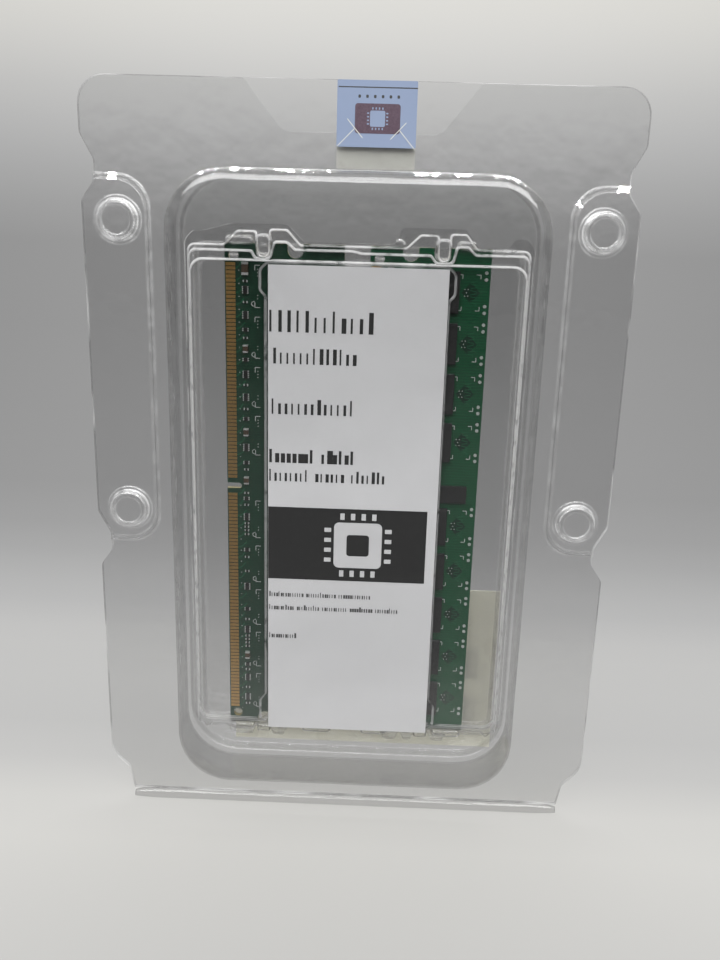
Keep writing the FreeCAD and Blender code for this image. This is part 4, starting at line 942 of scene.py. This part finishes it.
def module_print(m):
    """Legend, vias and copper drawn on one board's visible face."""
    low = BOARDS[m][0]

    def placed(paths):
        return [[(low.x + u, low.z + v) for u, v in path] for path in paths]

    body = f"module_{m}"
    marks, dots, lines, fields = [], [], finger_traces(), []
    for centre in DRAM_CENTRES:
        marks += legend(centre)
        dots += via_dots(centre)
        lines += serpentine(centre)
        fields += via_field(centre)
    layers = [
        ("legend", marks, 0.02, "silk"), ("via_dots", dots, 0.025, "silk"),
        ("masked_traces", lines, 0.015, "trace"), ("via_fields", fields, 0.006, "via_field"),
    ]
    for name, paths, proud, material in layers:
        piece = plates(f"{name}_{m}", placed(paths), low.y - proud, low.y, [M[material]])
        finish_piece(piece, body)


def chip_marks(m):
    """Laser marks on the visible packages: plain bars and a corner dot."""
    low, high = node_box(f"memory_chips_visible_{m}")
    marks = []
    for centre in DRAM_CENTRES:
        z = BOARDS[m][0].z + centre
        for row in range(3):
            marks += word_bars(low.x + 1.6, high.x - 2.0 - row, z + 2.4 - 2.0 * row, 0.9, 2)
        marks.append(disc(low.x + 1.1, z - 4.1, 0.35))
    piece = plates(f"chip_marks_{m}", marks, low.y - 0.008, low.y, [M["mark"]])
    finish_piece(piece, f"module_{m}")


def label_bars(m):
    low, high = node_box(f"module_label_{m}")
    bars = []
    for row in range(3):
        bars += word_bars(low.x + 1.0, high.x - 1.0, low.z + 4.0 + row * 6.0, 1.2, 2)
    piece = plates(f"module_label_bars_{m}", bars, high.y, high.y + 0.01, [M["label_ink"]])
    finish_piece(piece, f"module_{m}")


NODE_MATERIALS = {
    "contacts_visible": "gold", "contacts_rear": "gold", "memory_chips_visible": "mould",
    "memory_chips_rear": "mould", "clock_chip": "mould", "register_chip": "mould",
    "spd_chip": "mould", "chip_substrates": "substrate", "solder_balls": "solder",
    "solder_joints": "solder", "spd_leads": "solder", "resistor_arrays": "resistor",
    "chip_resistors": "resistor", "capacitors": "capacitor", "module_label": "label",
}
SOFT_EDGES = ("memory_chips_visible", "memory_chips_rear", "clock_chip", "register_chip", "spd_chip",
              "resistor_arrays", "capacitors")


def dress_nodes():
    """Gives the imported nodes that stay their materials, and rounds the edges of the packages."""
    for m in "ab":
        set_material(f"board_{m}", M[f"board_{m}"])
        for stem, material in NODE_MATERIALS.items():
            set_material(f"{stem}_{m}", M[material])
        for stem in SOFT_EDGES:
            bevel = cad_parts[f"{stem}_{m}"].modifiers.new("soft_edges", "BEVEL")
            bevel.width = 0.06 * MM
            bevel.segments = 2
            bevel.limit_method = "ANGLE"
    set_material("rear_label", M["label"])


def set_material(node, material):
    for material_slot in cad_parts[node].material_slots:
        material_slot.material = material


# --------------------------------------------------------------------------------------
# Stage: sweep, lights and camera
# --------------------------------------------------------------------------------------
WALL_Y, SWEEP_RADIUS = 290.0, 190.0
# The sweep glows with these greys as painted light: brighter at the foot and top of the wall and on the
# floor round the pack, darker in the middle of the wall and towards the front of the floor.
WALL_GREYS = [
    (0, 0.50), (3.5, 0.42), (14, 0.31), (22, 0.26), (36, 0.225), (70, 0.22), (110, 0.22),
    (153, 0.235), (173, 0.29), (194, 0.36), (215, 0.435), (235, 0.51), (254, 0.60), (280, 0.72),
]
FLOOR_GREYS = [
    (-220, 0.05), (-120, 0.15), (-60, 0.58), (-15, 0.64), (4, 0.62), (24, 0.52), (45, 0.485),
    (75, 0.50), (100, 0.50),
]
BOUNCE = 0.05


def backdrop():
    """A pale floor that curves up into a wall. The uneven light of a small light box is painted light on
    it: the sweep glows in greys set along it.
    """
    path = [(-1600.0, 0.0), (-290.0, 0.0), (-120.0, 0.0), (0.0, 0.0), (WALL_Y - SWEEP_RADIUS, 0.0)]
    for k in range(1, 19):
        angle = math.pi / 2 * k / 18
        path.append((WALL_Y - SWEEP_RADIUS + SWEEP_RADIUS * math.sin(angle),
                     SWEEP_RADIUS * (1 - math.cos(angle))))
    path.append((WALL_Y, 900.0))
    points = [(x, y, z - 0.02) for y, z in path for x in (-1600.0, 1600.0)]
    faces = [[2 * i, 2 * i + 1, 2 * i + 3, 2 * i + 2] for i in range(len(path) - 1)]
    piece = mesh_piece("sweep", points, faces, [sweep_material()], smooth=True)
    bpy.context.scene.collection.objects.link(piece)


def warm_grey(value):
    """A grey that turns slightly cream where it is light, as lit paper does."""
    warmth = min(max((value - 0.4) / 0.3, 0.0), 1.0)
    return (value, value * (1 - 0.015 * warmth), value * (1 - 0.07 * warmth))


def place_ramp(s, place, greys):
    """Greys along one coordinate, as a ramp."""
    first, last = greys[0][0], greys[-1][0]
    inputs = {0: place, 1: first * MM, 2: last * MM, 3: 0.0, 4: 1.0}
    share = s.node("MapRange", inputs).outputs[0]
    return s.ramp(share, [((at - first) / (last - first), warm_grey(v)) for at, v in greys])


def sweep_material():
    s = Shader("studio_sweep")
    place = s.node("SeparateXYZ", {0: s.node("NewGeometry").outputs["Position"]}).outputs
    is_wall = s.maths("GREATER_THAN", place[2], 0.0001)
    tone = s.blend(is_wall, place_ramp(s, place[1], FLOOR_GREYS), place_ramp(s, place[2], WALL_GREYS))
    # Painted light: the sweep glows with the greys, and takes only a little real light as a dim diffuse
    # surface.
    glow = s.node("Emission", {"Color": tone, "Strength": 0.85}).outputs[0]
    soft = s.node("BsdfDiffuse", {"Color": opaque(grey(BOUNCE))}).outputs[0]
    return s.done(s.node("AddShader", {0: glow, 1: soft}).outputs[0])


def area_light(name, place, aim, size_x, size_y, power):
    light = bpy.data.lights.new(name, "AREA")
    light.shape = "RECTANGLE"
    light.size = size_x * MM
    light.size_y = size_y * MM
    light.energy = power
    lamp = bpy.data.objects.new(name, light)
    lamp.location = Vector(place) * MM
    lamp.rotation_euler = (Vector(aim) - Vector(place)).to_track_quat("-Z", "Y").to_euler()
    bpy.context.scene.collection.objects.link(lamp)


def lights():
    """A broad soft light above in front, a row of small bright ones above the wall, and a dim room."""
    area_light("soft_top", (0, -430, 610), (0, 0, 90), 1100, 500, 11.5)
    for k in range(12):
        x = -165 + 30 * k
        area_light(f"lamp_{k}", (x, 215, 345), (x * 0.6, 0, 60), 14, 14, 0.2)
    world = bpy.data.worlds.new("room")
    world.use_nodes = True
    nodes, links = world.node_tree.nodes, world.node_tree.links
    direction = nodes.new("ShaderNodeTexCoord")
    split = nodes.new("ShaderNodeSeparateXYZ")
    ramp = nodes.new("ShaderNodeValToRGB")
    links.new(direction.outputs["Generated"], split.inputs[0])
    links.new(split.outputs[2], ramp.inputs["Fac"])
    links.new(ramp.outputs["Color"], nodes["Background"].inputs["Color"])
    ramp.color_ramp.elements[0].color = (0.04, 0.04, 0.04, 1.0)
    ramp.color_ramp.elements[1].position = 0.12
    ramp.color_ramp.elements[1].color = (0.62, 0.62, 0.62, 1.0)
    bpy.context.scene.world = world


def camera():
    """The photograph's viewpoint: above the middle, looking down with a slight turn and roll."""
    data = bpy.data.cameras.new("camera")
    data.sensor_fit = "AUTO"
    data.sensor_width = 36.0
    data.lens = 33.43
    data.clip_start = 0.01
    data.clip_end = 20.0
    made = bpy.data.objects.new("camera", data)
    pan = Matrix.Rotation(math.radians(1.24), 4, "Z")
    tilt = Matrix.Rotation(math.radians(90.0 - 15.72), 4, "X")
    roll = Matrix.Rotation(math.radians(1.64), 4, "Z")
    made.matrix_world = Matrix.Translation(Vector((6.9, -222.1, 163.4)) * MM) @ pan @ tilt @ roll
    bpy.context.scene.collection.objects.link(made)
    bpy.context.scene.camera = made


def stage_settings():
    """Enough depth for light through many clear sheets, and plain colours."""
    scene = bpy.context.scene
    scene.cycles.transparent_max_bounces = 40
    scene.view_settings.view_transform = "Standard"


# --------------------------------------------------------------------------------------
# The whole scene
# --------------------------------------------------------------------------------------
front_shell()
back_shell()
living_hinge()
tray_cover()
tray_base()
leaflet()
leaflet_print()
seals()
rear_label_print()
dress_nodes()
for module in "ab":
    module_print(module)
    chip_marks(module)
    label_bars(module)
backdrop()
lights()
camera()
stage_settings()
